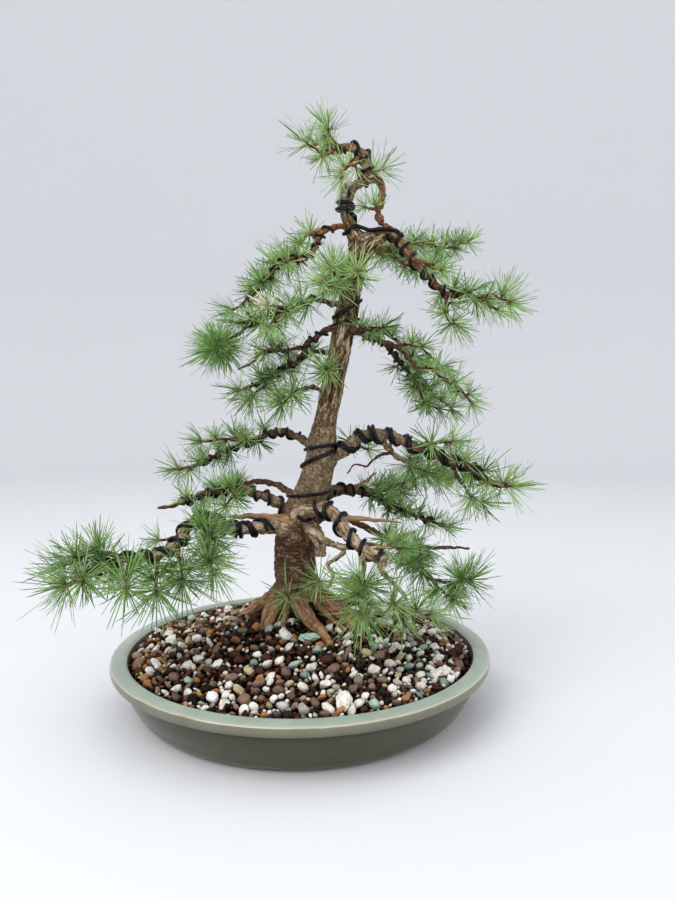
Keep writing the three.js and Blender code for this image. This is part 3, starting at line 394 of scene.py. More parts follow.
class PotSettings(bpy.types.PropertyGroup):
    """The glazed pot and its drainage screens."""

    wall: length("Wall", "Thickness of the pot's wall and floor", 6)
    lip: length("Lip", "Height of the band round the rim", 5.4)
    strand: length("Screen strand", "Thickness of a drainage screen's strands", 1.4)
    rim: colour("Rim glaze", "Glaze where it pools on top of the rim", "#9CA79D")
    # The wall's glaze is darkened as painted shade.
    body: colour("Body glaze", "Glaze on the wall", "#403C2A")
    band: colour("Band glaze", "Glaze on the band round the rim", "#6F6D5E")
    # Partly glaze run thin, partly a painted highlight along the lip.
    edge: colour("Edge", "Glaze where it runs thin over an edge", "#D2C7B2")
    clay: colour("Clay", "Bare stoneware under the pot", "#9A7F66")
    screen: colour("Screen", "Plastic of the drainage screens", "#26282A")


class SoilSettings(bpy.types.PropertyGroup):
    """The bed of mixed grit and the stones on it."""

    grains: IntProperty(name="Grains", description="Most grains on the bed", default=3300, min=100, max=6000)
    largest: length("Largest grain", "Half width of the largest grains", 4.6)
    smallest: length("Smallest grain", "Half width of the smallest grains", 1.0)
    # Near-black: partly dark fines, partly painted shade in the gaps between the grains.
    fines: colour("Fines", "Fine dark grit between the grains", "#0C0603")
    pumice: colour("Pumice", "White pumice", "#E4DCD0")
    lava: colour("Lava", "Red-brown lava", "#4C2E25")
    baked: colour("Baked clay", "Orange baked-clay grains", "#A87444")
    zeolite: colour("Zeolite", "Pale green zeolite", "#93AB9C")
    basalt: colour("Basalt", "Near-black stone", "#1E1613")
    gravel: colour("Gravel", "Pinkish-brown river gravel", "#866858")
    chert: colour("Chert", "Olive and cream chert", "#B0A07C")


class WoodSettings(bpy.types.PropertyGroup):
    """Trunk, roots, branches and deadwood."""

    detail: length("Detail", "Size of the facets that carry the bark", 0.88)
    relief: length("Relief", "Depth of the cracks between the bark's plates", 1.0)
    spur: length("Spur", "Length of the short shoots that carry the tufts", 1.9)
    crack: colour("Cracks", "Bottom of the cracks in old bark", "#2A1A10")
    plate: colour("Upper bark", "Bark of the upper trunk and the branches", "#86704F")
    middle: colour("Middle bark", "Bark of the trunk between its branches", "#937E62")
    foot: colour("Lower bark", "Bark of the trunk above the roots", "#6E4F3B")
    root: colour("Root bark", "Bark of the surface roots", "#A07A58")
    flake: colour("Flakes", "Edges of the plates, bleached by weather", "#CDBCA4")
    twig: colour("Twigs", "Bark of young branches", "#4A342B")
    shoot: colour("Shoots", "Orange skin of the youngest wood", "#96633F")
    dead: colour("Deadwood", "Bare dead wood", "#AE8A66")
    peeled: colour("Peeled bark", "Thin flaking bark on exposed limbs", "#9C7F62")


class WireSettings(bpy.types.PropertyGroup):
    """The shaping wires."""

    gap: length("Gap", "Space between a wire and the bark under it", 0.1)
    metal: colour("Metal", "Dark anodised aluminium", "#26262A")


class NeedleSettings(bpy.types.PropertyGroup):
    """The tufts of needles."""

    width: length("Width", "Width of a needle", 0.68)
    spacing: length("Spacing", "Distance between tufts along a twig", 9.2)
    count: IntProperty(name="Needles", description="Needles in a tuft", default=46, min=3, max=80)
    # Pale partly in its own colour and partly as painted light that shines through the tuft.
    base: colour("Base", "Needle where it leaves the shoot", "#D9DC8C")
    middle: colour("Middle", "Needle along its length", "#8FB962")
    tip: colour("Tip", "Needle at its tip", "#5F8750")
    shade: colour("Shade", "Older and shaded needles", "#365A28")
    # A painted reflection of the sky.
    gleam: colour("Gleam", "The few needles that mirror the sky", "#BED29C")
    pale: colour("Pale", "Needles of a bleached tuft", "#ECE8C0")


class StageSettings(bpy.types.PropertyGroup):
    """Floor, light and camera."""

    floor: colour("Floor", "Pale floor and backdrop", "#E6E7E9")
    sky: colour("Sky", "Light from all round", "#EFF1F4")
    sky_strength: number("Sky strength", "Strength of the light from all round", 1.2)
    key: number("Key light", "Power of the light at the left", 15, unit="POWER")
    fill: number("Fill light", "Power of the light at the right", 5, unit="POWER")
    lens: number("Lens", "Camera's focal length", 26.2, least=1, unit="CAMERA")


class BonsaiSettings(bpy.types.PropertyGroup):
    """All the sizes and colours of the bonsai."""

    pot: PointerProperty(type=PotSettings)
    soil: PointerProperty(type=SoilSettings)
    wood: PointerProperty(type=WoodSettings)
    wires: PointerProperty(type=WireSettings)
    needles: PointerProperty(type=NeedleSettings)
    stage: PointerProperty(type=StageSettings)


# ---------------------------------------------------------------- curves and meshes


def length_along(line):
    """The distance from a line's start to each of its points."""
    return np.concatenate([[0], np.cumsum(np.linalg.norm(np.diff(line, axis=0), axis=1))])


def even_points(points, step):
    """Even points along the smooth centripetal curve through the given ones."""
    given = np.array(points, float)
    given = np.vstack([2 * given[0] - given[1], given, 2 * given[-1] - given[-2]])
    share = np.linspace(0, 1, 16, endpoint=False)[:, None]
    stretches = []
    for a, b, c, d in zip(given, given[1:], given[2:], given[3:]):
        before, here, after = (math.sqrt(np.linalg.norm(q - p)) for p, q in ((a, b), (b, c), (c, d)))
        leave = ((b - a) / before - (c - a) / (before + here) + (c - b) / here) * here
        arrive = ((c - b) / here - (d - b) / (here + after) + (d - c) / after) * here
        stretches.append(
            b + leave * share
            + (3 * (c - b) - 2 * leave - arrive) * share**2
            + (2 * (b - c) + leave + arrive) * share**3
        )
    fine = np.vstack([*stretches, given[-2:-1]])
    along = length_along(fine)
    count = max(4, round(along[-1] / step) + 1)
    even = np.linspace(0, along[-1], count)
    return np.stack([np.interp(even, along, fine[:, axis]) for axis in range(3)], axis=1)


def unit(vectors):
    """The vectors at length one."""
    return vectors / np.maximum(np.linalg.norm(vectors, axis=-1, keepdims=True), 1e-9)


def side_directions(line):
    """A line's direction at each point, and two directions across it that turn as little as they can."""
    ahead = unit(np.gradient(line, axis=0))
    start = np.cross(ahead[0], (0, 0, 1) if abs(ahead[0][2]) < 0.9 else (0, 1, 0))
    across = [unit(start)]
    for direction in ahead[1:]:
        across.append(unit(across[-1] - direction * (across[-1] @ direction)))
    across = np.array(across)
    return ahead, across, np.cross(ahead, across)


def smoothed(rows, width):
    """Rows of numbers along a line, each evened out over this many of its neighbours."""
    window = np.hanning(width) / np.hanning(width).sum()
    padded = np.pad(rows, ((width // 2, width // 2), (0, 0)), mode="edge")
    return np.stack([np.convolve(column, window, mode="valid") for column in padded.T], axis=1)


class Shape:
    """Points in millimetres with their faces, and a number or a vector per point under each name."""

    def __init__(self):
        self.points, self.faces, self.values, self.count = [], [], {}, 0

    def add(self, points, *faces, **values):
        """Adds points, blocks of faces that count from the first of them, and a value for each point."""
        for block in faces:
            self.faces.extend((np.asarray(block) + self.count).tolist())
        for name, value in values.items():
            filled = np.full(len(points), value, float) if np.isscalar(value) else np.asarray(value, float)
            self.values.setdefault(name, []).append(filled)
        self.points.append(points)
        self.count += len(points)

    def mesh(self, name):
        """The shape as a smooth mesh in metres, its values as attributes."""
        made = bpy.data.meshes.new(name)
        made.from_pydata((np.vstack(self.points) * MM).tolist(), [], self.faces)
        for key, blocks in self.values.items():
            data = np.concatenate(blocks).astype(np.float32)
            flat = data.ndim == 1
            layer = made.attributes.new(key, "FLOAT" if flat else "FLOAT_VECTOR", "POINT")
            layer.data.foreach_set("value" if flat else "vector", data.ravel())
        made.shade_smooth()
        return made


def capped(wall, sides, first, last):
    """Rings of points, closed by one point at each end: points, quads, and each end's triangles."""
    rings = len(wall) // sides
    ring, side = np.meshgrid(np.arange(rings - 1), np.arange(sides), indexing="ij")
    here, there, after = ring * sides, (ring + 1) * sides, (side + 1) % sides
    quads = np.stack([here + side, here + after, there + after, there + side], axis=-1).reshape(-1, 4)
    spoke = np.arange(sides)
    following, foot = (spoke + 1) % sides, (rings - 1) * sides
    start = np.stack([np.full(sides, len(wall)), following, spoke], axis=1)
    end = np.stack([np.full(sides, len(wall) + 1), foot + spoke, foot + following], axis=1)
    return np.vstack([wall, [first], [last]]), quads, start, end


def tube(line, radii, sides):
    """A closed tube round a line: its points and faces, and each point's place across and along the line."""
    line, radii = np.asarray(line, float), np.asarray(radii, float)
    rings = len(line)
    _, across, over = side_directions(line)
    angles = np.linspace(0, 2 * math.pi, sides, endpoint=False)
    out = across[:, None] * np.cos(angles)[None, :, None] + over[:, None] * np.sin(angles)[None, :, None]
    radii = np.broadcast_to(radii.reshape(-1, 1), (rings, sides))
    wall = (line[:, None] + out * radii[..., None]).reshape(-1, 3)
    along = length_along(line)
    grain = np.stack([
        (radii * np.cos(angles)).ravel(), (radii * np.sin(angles)).ravel(), np.repeat(along, sides),
    ], axis=1)
    grain = np.vstack([grain, [[0, 0, 0]], [[0, 0, along[-1]]]])
    return *capped(wall, sides, line[0], line[-1]), grain


def lathe(outline, sides):
    """A closed turned shape from an outline of radius and height that starts and ends on the axis."""
    angles = np.linspace(0, 2 * math.pi, sides, endpoint=False)
    inner = np.array(outline[1:-1], float)
    wall = np.stack([
        inner[:, :1] * np.cos(angles), inner[:, :1] * np.sin(angles), np.repeat(inner[:, 1:], sides, axis=1),
    ], axis=-1).reshape(-1, 3)
    return capped(wall, sides, (0, 0, outline[0][1]), (0, 0, outline[-1][1]))


def rounded(outline):
    """An outline whose corners (radius, height, rounding) are turned into short curves."""
    corners = [np.array(corner[:2], float) for corner in outline]
    made = [corners[0]]
    for before, corner, after, (_, _, soft) in zip(corners, corners[1:], corners[2:], outline[1:]):
        soft = min(soft, np.linalg.norm(before - corner) / 2, np.linalg.norm(after - corner) / 2)
        start, end = corner + unit(before - corner) * soft, corner + unit(after - corner) * soft
        for share in np.linspace(0, 1, 6):
            made.append((1 - share) ** 2 * start + 2 * share * (1 - share) * corner + share**2 * end)
    return [*made, corners[-1]]


def place(name, mesh, finish, nodes):
    """Puts a piece in the scene: it rides on the root body and stands for the frame's nodes."""
    piece = bpy.data.objects.new(name, mesh)
    bpy.context.scene.collection.objects.link(piece)
    mesh.materials.clear()
    mesh.materials.append(finish)
    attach(piece, "root")
    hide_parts(*nodes)


def baked(mesh, *modifiers):
    """The mesh after modifiers, each given as its kind and settings."""
    worker = bpy.data.objects.new("worker", mesh)
    bpy.context.scene.collection.objects.link(worker)
    for kind, settings in modifiers:
        modifier = worker.modifiers.new(kind, kind)
        for key, value in settings.items():
            setattr(modifier, key, value)
    depsgraph = bpy.context.evaluated_depsgraph_get()
    made = bpy.data.meshes.new_from_object(worker.evaluated_get(depsgraph))
    bpy.data.objects.remove(worker)
    return made


def points_of(mesh):
    """A mesh's points in millimetres."""
    flat = np.zeros(len(mesh.vertices) * 3, np.float32)
    mesh.vertices.foreach_get("co", flat)
    return flat.reshape(-1, 3).astype(float) / MM


# ---------------------------------------------------------------- materials


def fill(node, sockets):
    """Sets a node's sockets: an output is linked, anything else is a value."""
    for socket, value in sockets.items():
        if isinstance(value, bpy.types.NodeSocket):
            node.id_data.links.new(value, node.inputs[socket])
        elif isinstance(value, tuple) and len(value) == 3 and node.inputs[socket].type == "RGBA":
            node.inputs[socket].default_value = (*value, 1)
        else:
            node.inputs[socket].default_value = value


def add(tree, kind, sockets, give=0, stops=(), **settings):
    """Adds a node with its settings, sockets and ramp stops, and gives one of its outputs."""
    node = tree.nodes.new(kind)
    for name, value in settings.items():
        setattr(node, name, value)
    fill(node, sockets)
    for i, (position, tint) in enumerate(stops):
        elements = node.color_ramp.elements
        stop = elements[i] if i < len(elements) else elements.new(position)
        stop.position = position
        stop.color = (*tint, 1) if isinstance(tint, tuple) else (tint, tint, tint, 1)
    return node.outputs[give]


def material(name, **constants):
    """A material with one Principled surface: itself, its tree and its shader."""
    made = bpy.data.materials.new(name)
    made.use_nodes = True
    tree = made.node_tree
    tree.nodes.clear()
    shader = tree.nodes.new("ShaderNodeBsdfPrincipled")
    output = tree.nodes.new("ShaderNodeOutputMaterial")
    tree.links.new(shader.outputs[0], output.inputs["Surface"])
    fill(shader, {key.replace("_", " "): value for key, value in constants.items()})
    return made, tree, shader


def per(size, millimetre=MM):
    """The scale that gives a pattern this size in object coordinates, or in the bark's own grain."""
    return 1 / (size * millimetre)


def shaded(tint, amount):
    """A colour made lighter or darker."""
    return tuple(min(1.0, channel * amount) for channel in tint)


# Sockets are numbered where their names repeat. A map range takes 0 from the range 1 to 2 into the range
# 3 to 4. A mix node's 0 is the share of its second input, and its inputs are 2 and 3 for numbers and 6 and
# 7 for colours, which these settings mix or multiply.
BLEND = {"give": 2, "data_type": "RGBA"}
MULTIPLY = {**BLEND, "blend_type": "MULTIPLY"}


def celadon_glaze(settings):
    # Celadon-glazed stoneware, dipped and fired: pale and bluish where it pools on the rim, olive on the
    # steep wall, which is darkened as painted shade, with a painted shadow just under the lip, tan where it
    # runs thin over the lip's edge, a line that is also a painted highlight, with iron specks and a bare clay
    # foot.
    made, tree, shader = material("celadon_glazed_stoneware", IOR=1.5)
    place_at = add(tree, "ShaderNodeTexCoord", {}, give="Object")
    height = add(tree, "ShaderNodeSeparateXYZ", {0: place_at}, give="Z")
    cloud = add(tree, "ShaderNodeTexNoise", {"Vector": place_at, "Scale": per(18), "Detail": 4})
    fine = add(tree, "ShaderNodeTexNoise", {"Vector": place_at, "Scale": per(2.2), "Detail": 3})
    wander = add(tree, "ShaderNodeMath", {0: cloud, 1: 1.0 * MM, 2: height}, operation="MULTIPLY_ADD")
    top = POT_BOX[1].z
    rise = add(tree, "ShaderNodeMapRange", {0: wander, 1: top - 14 * MM, 2: top}, clamp=True)
    # Stops 0.3 and 0.49 darken the wall just under the lip as a painted shadow. Stops 0.88 and 0.92 lighten
    # the band into a pale edge line that is partly glaze run thin and partly a painted highlight.
    glaze = add(tree, "ShaderNodeValToRGB", {0: rise}, stops=[
        (0.06, tuple(settings.body)),
        (0.3, shaded(settings.body, 0.55)),
        (0.49, shaded(settings.body, 0.6)),
        (0.55, shaded(settings.band, 0.85)),
        (0.7, tuple(settings.band)),
        (0.88, shaded(settings.band, 1.15)),
        (0.92, shaded(settings.edge, 0.9)),
        (0.95, shaded(settings.rim, 1.08)),
        (1.0, tuple(settings.rim)),
    ])
    mottled = add(tree, "ShaderNodeMix", {0: cloud, 6: (0.72, 0.73, 0.7), 7: (1.22, 1.24, 1.18)}, **BLEND)
    toned = add(tree, "ShaderNodeMix", {0: 1.0, 6: glaze, 7: mottled}, **MULTIPLY)
    specks = add(tree, "ShaderNodeTexVoronoi", {"Vector": place_at, "Scale": per(5)}, give="Distance")
    speck = add(tree, "ShaderNodeValToRGB", {0: specks}, stops=[(0.0, 1.0), (0.05, 0.8), (0.075, 0.0)])
    rare = add(tree, "ShaderNodeValToRGB", {0: fine}, stops=[(0.52, 0.0), (0.6, 0.7)])
    iron = add(tree, "ShaderNodeMath", {0: speck, 1: rare}, operation="MULTIPLY")
    spotted = add(tree, "ShaderNodeMix", {0: iron, 6: toned, 7: shaded(settings.body, 0.35)}, **BLEND)
    foot = add(tree, "ShaderNodeMapRange", {0: wander, 1: 1.6 * MM, 2: 2.4 * MM}, clamp=True)
    coated = add(tree, "ShaderNodeMix", {0: foot, 6: tuple(settings.clay), 7: spotted}, **BLEND)
    gloss = add(tree, "ShaderNodeMapRange", {0: foot, 3: 0.85, 4: 0.2})
    bump = add(tree, "ShaderNodeBump", {"Height": cloud, "Strength": 0.25, "Distance": 0.5 * MM})
    fill(shader, {"Base Color": coated, "Roughness": gloss, "Normal": bump})
    return made


def screen_plastic(settings):
    # Moulded polypropylene mesh: near-black and satin, with a little soil dust.
    made, tree, shader = material("moulded_polypropylene_mesh", IOR=1.49)
    place_at = add(tree, "ShaderNodeTexCoord", {}, give="Object")
    dust = add(tree, "ShaderNodeTexNoise", {"Vector": place_at, "Scale": per(3), "Detail": 5})
    tint = add(tree, "ShaderNodeValToRGB", {0: dust}, stops=[
        (0.4, tuple(settings.screen)), (0.75, shaded(settings.clay, 0.5)),
    ])
    gloss = add(tree, "ShaderNodeMapRange", {0: dust, 3: 0.4, 4: 0.8})
    bump = add(tree, "ShaderNodeBump", {"Height": dust, "Strength": 0.3, "Distance": 0.1 * MM})
    fill(shader, {"Base Color": tint, "Roughness": gloss, "Normal": bump})
    return made


def soil_fines(settings):
    # Sifted fines of lava and baked clay: dark and crumbly, with small paler crumbs. Their near-black colour
    # is partly the fines' own and partly painted shade in the gaps between the grains.
    made, tree, shader = material("damp_sifted_fines", IOR=1.45, Specular_IOR_Level=0.05)
    place_at = add(tree, "ShaderNodeTexCoord", {}, give="Object")
    crumbs = add(tree, "ShaderNodeTexVoronoi", {"Vector": place_at, "Scale": per(1.6)}, give="Distance")
    pick = add(tree, "ShaderNodeSeparateColor", {0: crumbs.node.outputs["Color"]})
    tint = add(tree, "ShaderNodeValToRGB", {0: pick}, stops=[
        (0.0, shaded(settings.fines, 0.7)), (0.55, tuple(settings.fines)), (0.8, shaded(settings.lava, 0.8)),
        (0.94, shaded(settings.baked, 0.7)), (1.0, shaded(settings.gravel, 0.9)),
    ])
    bump = add(tree, "ShaderNodeBump", {"Height": crumbs, "Strength": 0.9, "Distance": 0.7 * MM}, invert=True)
    fill(shader, {"Base Color": tint, "Roughness": 0.85, "Normal": bump})
    return made


def grit(kind, tint):
    # Crushed or tumbled stone as GRIT describes it. Each grain is darker or lighter than the next and darker
    # on its underside as painted shade, with pits as deep as its kind's that are darker in colour, and
    # patches of soil.
    porous = kind.pits > 0.5
    made, tree, shader = material(kind.finish, IOR=1.5, Specular_IOR_Level=0.15 if porous else 0.4)
    place_at = add(tree, "ShaderNodeTexCoord", {}, give="Object")
    tone = add(tree, "ShaderNodeAttribute", {}, give="Fac", attribute_name="tone")
    grime = add(tree, "ShaderNodeTexNoise", {"Vector": place_at, "Scale": per(2.5), "Detail": 5})
    pores = add(tree, "ShaderNodeTexVoronoi", {"Vector": place_at, "Scale": per(0.9)}, give="Distance")
    own = add(tree, "ShaderNodeValToRGB", {0: tone}, stops=[
        (0.0, shaded(tint, 0.12)), (0.25, shaded(tint, 0.6)),
        (0.55, shaded(tint, 1.1)), (1.0, shaded(tint, 1.5)),
    ])
    soiled = add(tree, "ShaderNodeMapRange", {0: grime, 1: 0.45, 2: 0.8, 4: kind.soiling}, clamp=True)
    stained = add(tree, "ShaderNodeMix", {0: soiled, 6: own, 7: linear("#423429")}, **BLEND)
    hollow = add(tree, "ShaderNodeMapRange", {
        0: pores, 1: 0.05, 2: 0.4, 3: 0.55 if porous else 0.85,
    }, clamp=True)
    pitted = add(tree, "ShaderNodeMix", {0: 1.0, 6: stained, 7: hollow}, **MULTIPLY)
    bump = add(tree, "ShaderNodeBump", {"Height": pores, "Strength": kind.pits, "Distance": 0.35 * MM})
    fill(shader, {"Base Color": pitted, "Roughness": kind.roughness, "Normal": bump})
    return made


def larch_bark(settings):
    # Old larch bark, weathered and flaking: cream streaks along the upper trunk, fine wrinkles across the
    # lower one, orange on the roots. Twigs have thin dark bark with orange patches, exposed limbs have
    # peeled, and the dead spikes are bare: the skins blend where one limb grows out of another.
    made, tree, shader = material("flaking_larch_bark", IOR=1.45, Specular_IOR_Level=0.2)
    grain = add(tree, "ShaderNodeAttribute", {}, give="Vector", attribute_name="grain")
    crack, dead, peeled, young = (
        add(tree, "ShaderNodeAttribute", {}, give="Fac", attribute_name=name)
        for name in ("crack", "dead", "peeled", "young")
    )
    place_at = add(tree, "ShaderNodeTexCoord", {}, give="Object")
    height = add(tree, "ShaderNodeSeparateXYZ", {0: place_at}, give="Z")
    long_grain = add(tree, "ShaderNodeMapping", {"Vector": grain, "Scale": (1.0, 1.0, 0.2)})
    cross_grain = add(tree, "ShaderNodeMapping", {"Vector": grain, "Scale": (0.32, 0.32, 1.0)})
    streak = add(tree, "ShaderNodeTexNoise", {
        "Vector": long_grain, "Scale": per(2.38, GRAIN), "Detail": 5, "Roughness": 0.68,
    })
    wrinkle = add(tree, "ShaderNodeTexNoise", {
        "Vector": cross_grain, "Scale": per(1.25, GRAIN), "Detail": 6, "Roughness": 0.7,
    })
    patch = add(tree, "ShaderNodeTexNoise", {"Vector": grain, "Scale": per(8.33, GRAIN), "Detail": 4})
    flecks = add(tree, "ShaderNodeTexNoise", {
        "Vector": grain, "Scale": per(1.667, GRAIN), "Detail": 6, "Roughness": 0.75,
    })
    high = add(tree, "ShaderNodeMapRange", {0: height, 1: 170 * MM, 2: 210 * MM}, clamp=True)
    rooty = add(tree, "ShaderNodeMapRange", {0: height, 1: 78 * MM, 2: 64 * MM}, clamp=True)
    smooth = add(tree, "ShaderNodeMath", {0: high, 1: rooty}, operation="MAXIMUM")
    run = add(tree, "ShaderNodeMix", {0: smooth, 2: wrinkle, 3: streak})
    mealy = add(tree, "ShaderNodeMapRange", {0: high, 3: 0.36, 4: 0.15})
    pattern = add(tree, "ShaderNodeMix", {0: mealy, 2: run, 3: flecks})
    up = add(tree, "ShaderNodeMapRange", {0: height, 1: 50 * MM, 2: 350 * MM}, clamp=True)
    by_height = add(tree, "ShaderNodeValToRGB", {0: up}, stops=[
        (0.04, shaded(settings.root, 1.55)), (0.09, shaded(settings.foot, 1.4)),
        (0.16, shaded(settings.foot, 0.9)), (0.22, tuple(settings.foot)),
        (0.30, tuple(settings.middle)), (0.43, shaded(settings.middle, 1.35)),
        (0.56, shaded(settings.plate, 1.6)), (0.76, shaded(settings.plate, 1.6)),
        (0.94, shaded(settings.plate, 1.6)), (0.97, shaded(settings.flake, 0.8)),
    ])
    light = add(tree, "ShaderNodeValToRGB", {0: pattern}, stops=[
        (0.4, 0.04), (0.455, 0.24), (0.5, 0.62), (0.56, 1.0),
    ])
    depth = add(tree, "ShaderNodeMapRange", {0: high, 3: 0.68})
    streaked = add(tree, "ShaderNodeMix", {0: depth, 6: by_height, 7: light}, **MULTIPLY)
    bleach = add(tree, "ShaderNodeMapRange", {0: pattern, 1: 0.52, 2: 0.59, 4: 0.95}, clamp=True)
    weather = add(tree, "ShaderNodeMapRange", {0: height, 1: 130 * MM, 2: 200 * MM, 3: 0.45}, clamp=True)
    bleached = add(tree, "ShaderNodeMath", {0: bleach, 1: weather}, operation="MULTIPLY")
    flaky = add(tree, "ShaderNodeMix", {0: bleached, 6: streaked, 7: tuple(settings.flake)}, **BLEND)
    warm = add(tree, "ShaderNodeMapRange", {0: patch, 1: 0.5, 2: 0.68, 4: 0.5}, clamp=True)
    warmer = add(tree, "ShaderNodeMath", {0: warm, 1: weather}, operation="MULTIPLY")
    rust = add(tree, "ShaderNodeMix", {0: 1.0, 6: shaded(settings.shoot, 1.3), 7: light}, **MULTIPLY)
    rusty = add(tree, "ShaderNodeMix", {0: warmer, 6: flaky, 7: rust}, **BLEND)
    seam = add(tree, "ShaderNodeMapRange", {0: crack, 3: 0.9, 4: 0.0}, clamp=True)
    gap = add(tree, "ShaderNodeMath", {0: seam, 1: weather}, operation="MULTIPLY")
    old = add(tree, "ShaderNodeMix", {0: gap, 6: rusty, 7: tuple(settings.crack)}, **BLEND)
    dark_skin = add(tree, "ShaderNodeValToRGB", {0: flecks}, stops=[
        (0.38, shaded(settings.twig, 0.2)), (0.46, shaded(settings.twig, 0.7)),
        (0.54, shaded(settings.twig, 1.6)), (0.62, shaded(settings.twig, 2.6)),
        (0.7, shaded(settings.flake, 0.7)),
    ])
    warm_skin = add(tree, "ShaderNodeValToRGB", {0: flecks}, stops=[
        (0.37, shaded(settings.twig, 0.2)), (0.44, shaded(settings.shoot, 0.4)),
        (0.52, shaded(settings.shoot, 0.8)), (0.6, shaded(settings.shoot, 1.35)),
        (0.7, shaded(settings.flake, 0.9)),
    ])
    aloft = add(tree, "ShaderNodeMapRange", {
        0: height, 1: 270 * MM, 2: 310 * MM, 3: 0.12, 4: 0.85,
    }, clamp=True)
    skin = add(tree, "ShaderNodeMix", {0: aloft, 6: dark_skin, 7: warm_skin}, **BLEND)
    thin = add(tree, "ShaderNodeMix", {0: young, 6: old, 7: skin}, **BLEND)
    fibres = add(tree, "ShaderNodeMix", {0: 0.35, 2: streak, 3: flecks})
    strips = add(tree, "ShaderNodeValToRGB", {0: fibres}, stops=[
        (0.39, shaded(settings.crack, 0.8)), (0.45, shaded(settings.peeled, 0.45)),
        (0.5, tuple(settings.peeled)), (0.56, shaded(settings.flake, 0.85)),
        (0.65, shaded(settings.flake, 1.2)),
    ])
    flaking = add(tree, "ShaderNodeMix", {0: peeled, 6: thin, 7: strips}, **BLEND)
    bone = add(tree, "ShaderNodeValToRGB", {0: streak}, stops=[
        (0.36, shaded(settings.dead, 0.3)), (0.45, shaded(settings.dead, 0.75)), (0.55, tuple(settings.dead)),
        (0.68, shaded(settings.dead, 1.35)),
    ])
    bare = add(tree, "ShaderNodeMix", {0: dead, 6: flaking, 7: bone}, **BLEND)
    rough = add(tree, "ShaderNodeMapRange", {0: pattern, 3: 0.95, 4: 0.7})
    relief = add(tree, "ShaderNodeMath", {0: flecks, 1: 0.6, 2: pattern}, operation="MULTIPLY_ADD")
    bump = add(tree, "ShaderNodeBump", {"Height": relief, "Strength": 0.9, "Distance": 0.8 * MM})
    fill(shader, {"Base Color": bare, "Roughness": rough, "Normal": bump})
    return made


def anodised_wire(settings):
    # Soft aluminium wire, dark anodised and rubbed in handling: near-black with a long satin sheen.
    made, tree, shader = material("dark_anodised_aluminium_wire", Metallic=0.8)
    place_at = add(tree, "ShaderNodeTexCoord", {}, give="Object")
    rubs = add(tree, "ShaderNodeTexNoise", {"Vector": place_at, "Scale": per(2), "Detail": 6})
    tint = add(tree, "ShaderNodeValToRGB", {0: rubs}, stops=[
        (0.35, shaded(settings.metal, 0.6)), (0.6, tuple(settings.metal)),
        (0.78, shaded(settings.metal, 2.4)),
    ])
    gloss = add(tree, "ShaderNodeMapRange", {0: rubs, 3: 0.3, 4: 0.55})
    bump = add(tree, "ShaderNodeBump", {"Height": rubs, "Strength": 0.15, "Distance": 0.1 * MM})
    fill(shader, {"Base Color": tint, "Roughness": gloss, "Normal": bump})
    return made


def larch_needle(settings):
    # Soft fresh larch needles: yellowish where they leave the shoot, mid green with a waxy sheen, darker low
    # in the tree and lighter high up as painted shade and light, and each a little lighter or darker than the
    # next.
    made, tree, shader = material("fresh_larch_needle", IOR=1.45, Roughness=0.42, Sheen_Weight=0.08)
    tone, reach, pale = (
        add(tree, "ShaderNodeAttribute", {}, give="Fac", attribute_name=name)
        for name in ("tone", "reach", "pale")
    )
    # The pale base is partly the needle's own colour and partly painted light through the tuft.
    along = add(tree, "ShaderNodeValToRGB", {0: reach}, stops=[
        (0.1, tuple(settings.base)), (0.32, shaded(settings.middle, 1.2)), (0.62, tuple(settings.middle)),
        (1.0, tuple(settings.tip)),
    ])
    darker = add(tree, "ShaderNodeMapRange", {0: tone, 1: 0.46, 2: 0.16, 4: 0.95}, clamp=True)
    varied = add(tree, "ShaderNodeMix", {0: darker, 6: along, 7: tuple(settings.shade)}, **BLEND)
    # A few needles mixed towards the gleam colour: a painted reflection of the sky.
    painted_gleam_share = add(tree, "ShaderNodeMapRange", {0: tone, 1: 0.62, 2: 0.9, 4: 0.75}, clamp=True)
    fresh = add(tree, "ShaderNodeMix", {0: painted_gleam_share, 6: varied, 7: tuple(settings.gleam)}, **BLEND)
    bleached = add(tree, "ShaderNodeMix", {0: pale, 6: fresh, 7: tuple(settings.pale)}, **BLEND)
    place_at = add(tree, "ShaderNodeTexCoord", {}, give="Object")
    streaks = add(tree, "ShaderNodeTexNoise", {"Vector": place_at, "Scale": per(1.5), "Detail": 3})
    soft = add(tree, "ShaderNodeMix", {0: streaks, 6: (0.82, 0.84, 0.8), 7: (1.15, 1.13, 1.1)}, **BLEND)
    mottled = add(tree, "ShaderNodeMix", {0: 1.0, 6: bleached, 7: soft}, **MULTIPLY)
    height = add(tree, "ShaderNodeSeparateXYZ", {0: place_at}, give="Z")
    # Painted light and shade by height: needles darker low in the tree and lighter high up.
    painted_light_by_height = add(tree, "ShaderNodeMapRange", {0: height, 1: 90 * MM, 2: 320 * MM}, clamp=True)
    light = add(tree, "ShaderNodeMix", {0: painted_light_by_height, 6: (0.84, 0.92, 0.78), 7: (1.16, 1.15, 1.14)}, **BLEND)
    tint = add(tree, "ShaderNodeMix", {0: 1.0, 6: mottled, 7: light}, **MULTIPLY)
    fill(shader, {"Base Color": tint})
    return made


def studio_paper(settings):
    # Matt seamless paper, pale and even, with hardly a trace of tone.
    made, tree, shader = material("seamless_studio_paper", Roughness=0.9)
    place_at = add(tree, "ShaderNodeTexCoord", {}, give="Object")
    cloud = add(tree, "ShaderNodeTexNoise", {"Vector": place_at, "Scale": per(500), "Detail": 2})
    tint = add(tree, "ShaderNodeMix", {
        0: cloud, 6: shaded(settings.floor, 0.98), 7: tuple(settings.floor),
    }, **BLEND)
    fill(shader, {"Base Color": tint})
    return made


# ---------------------------------------------------------------- limbs, tufts and soil


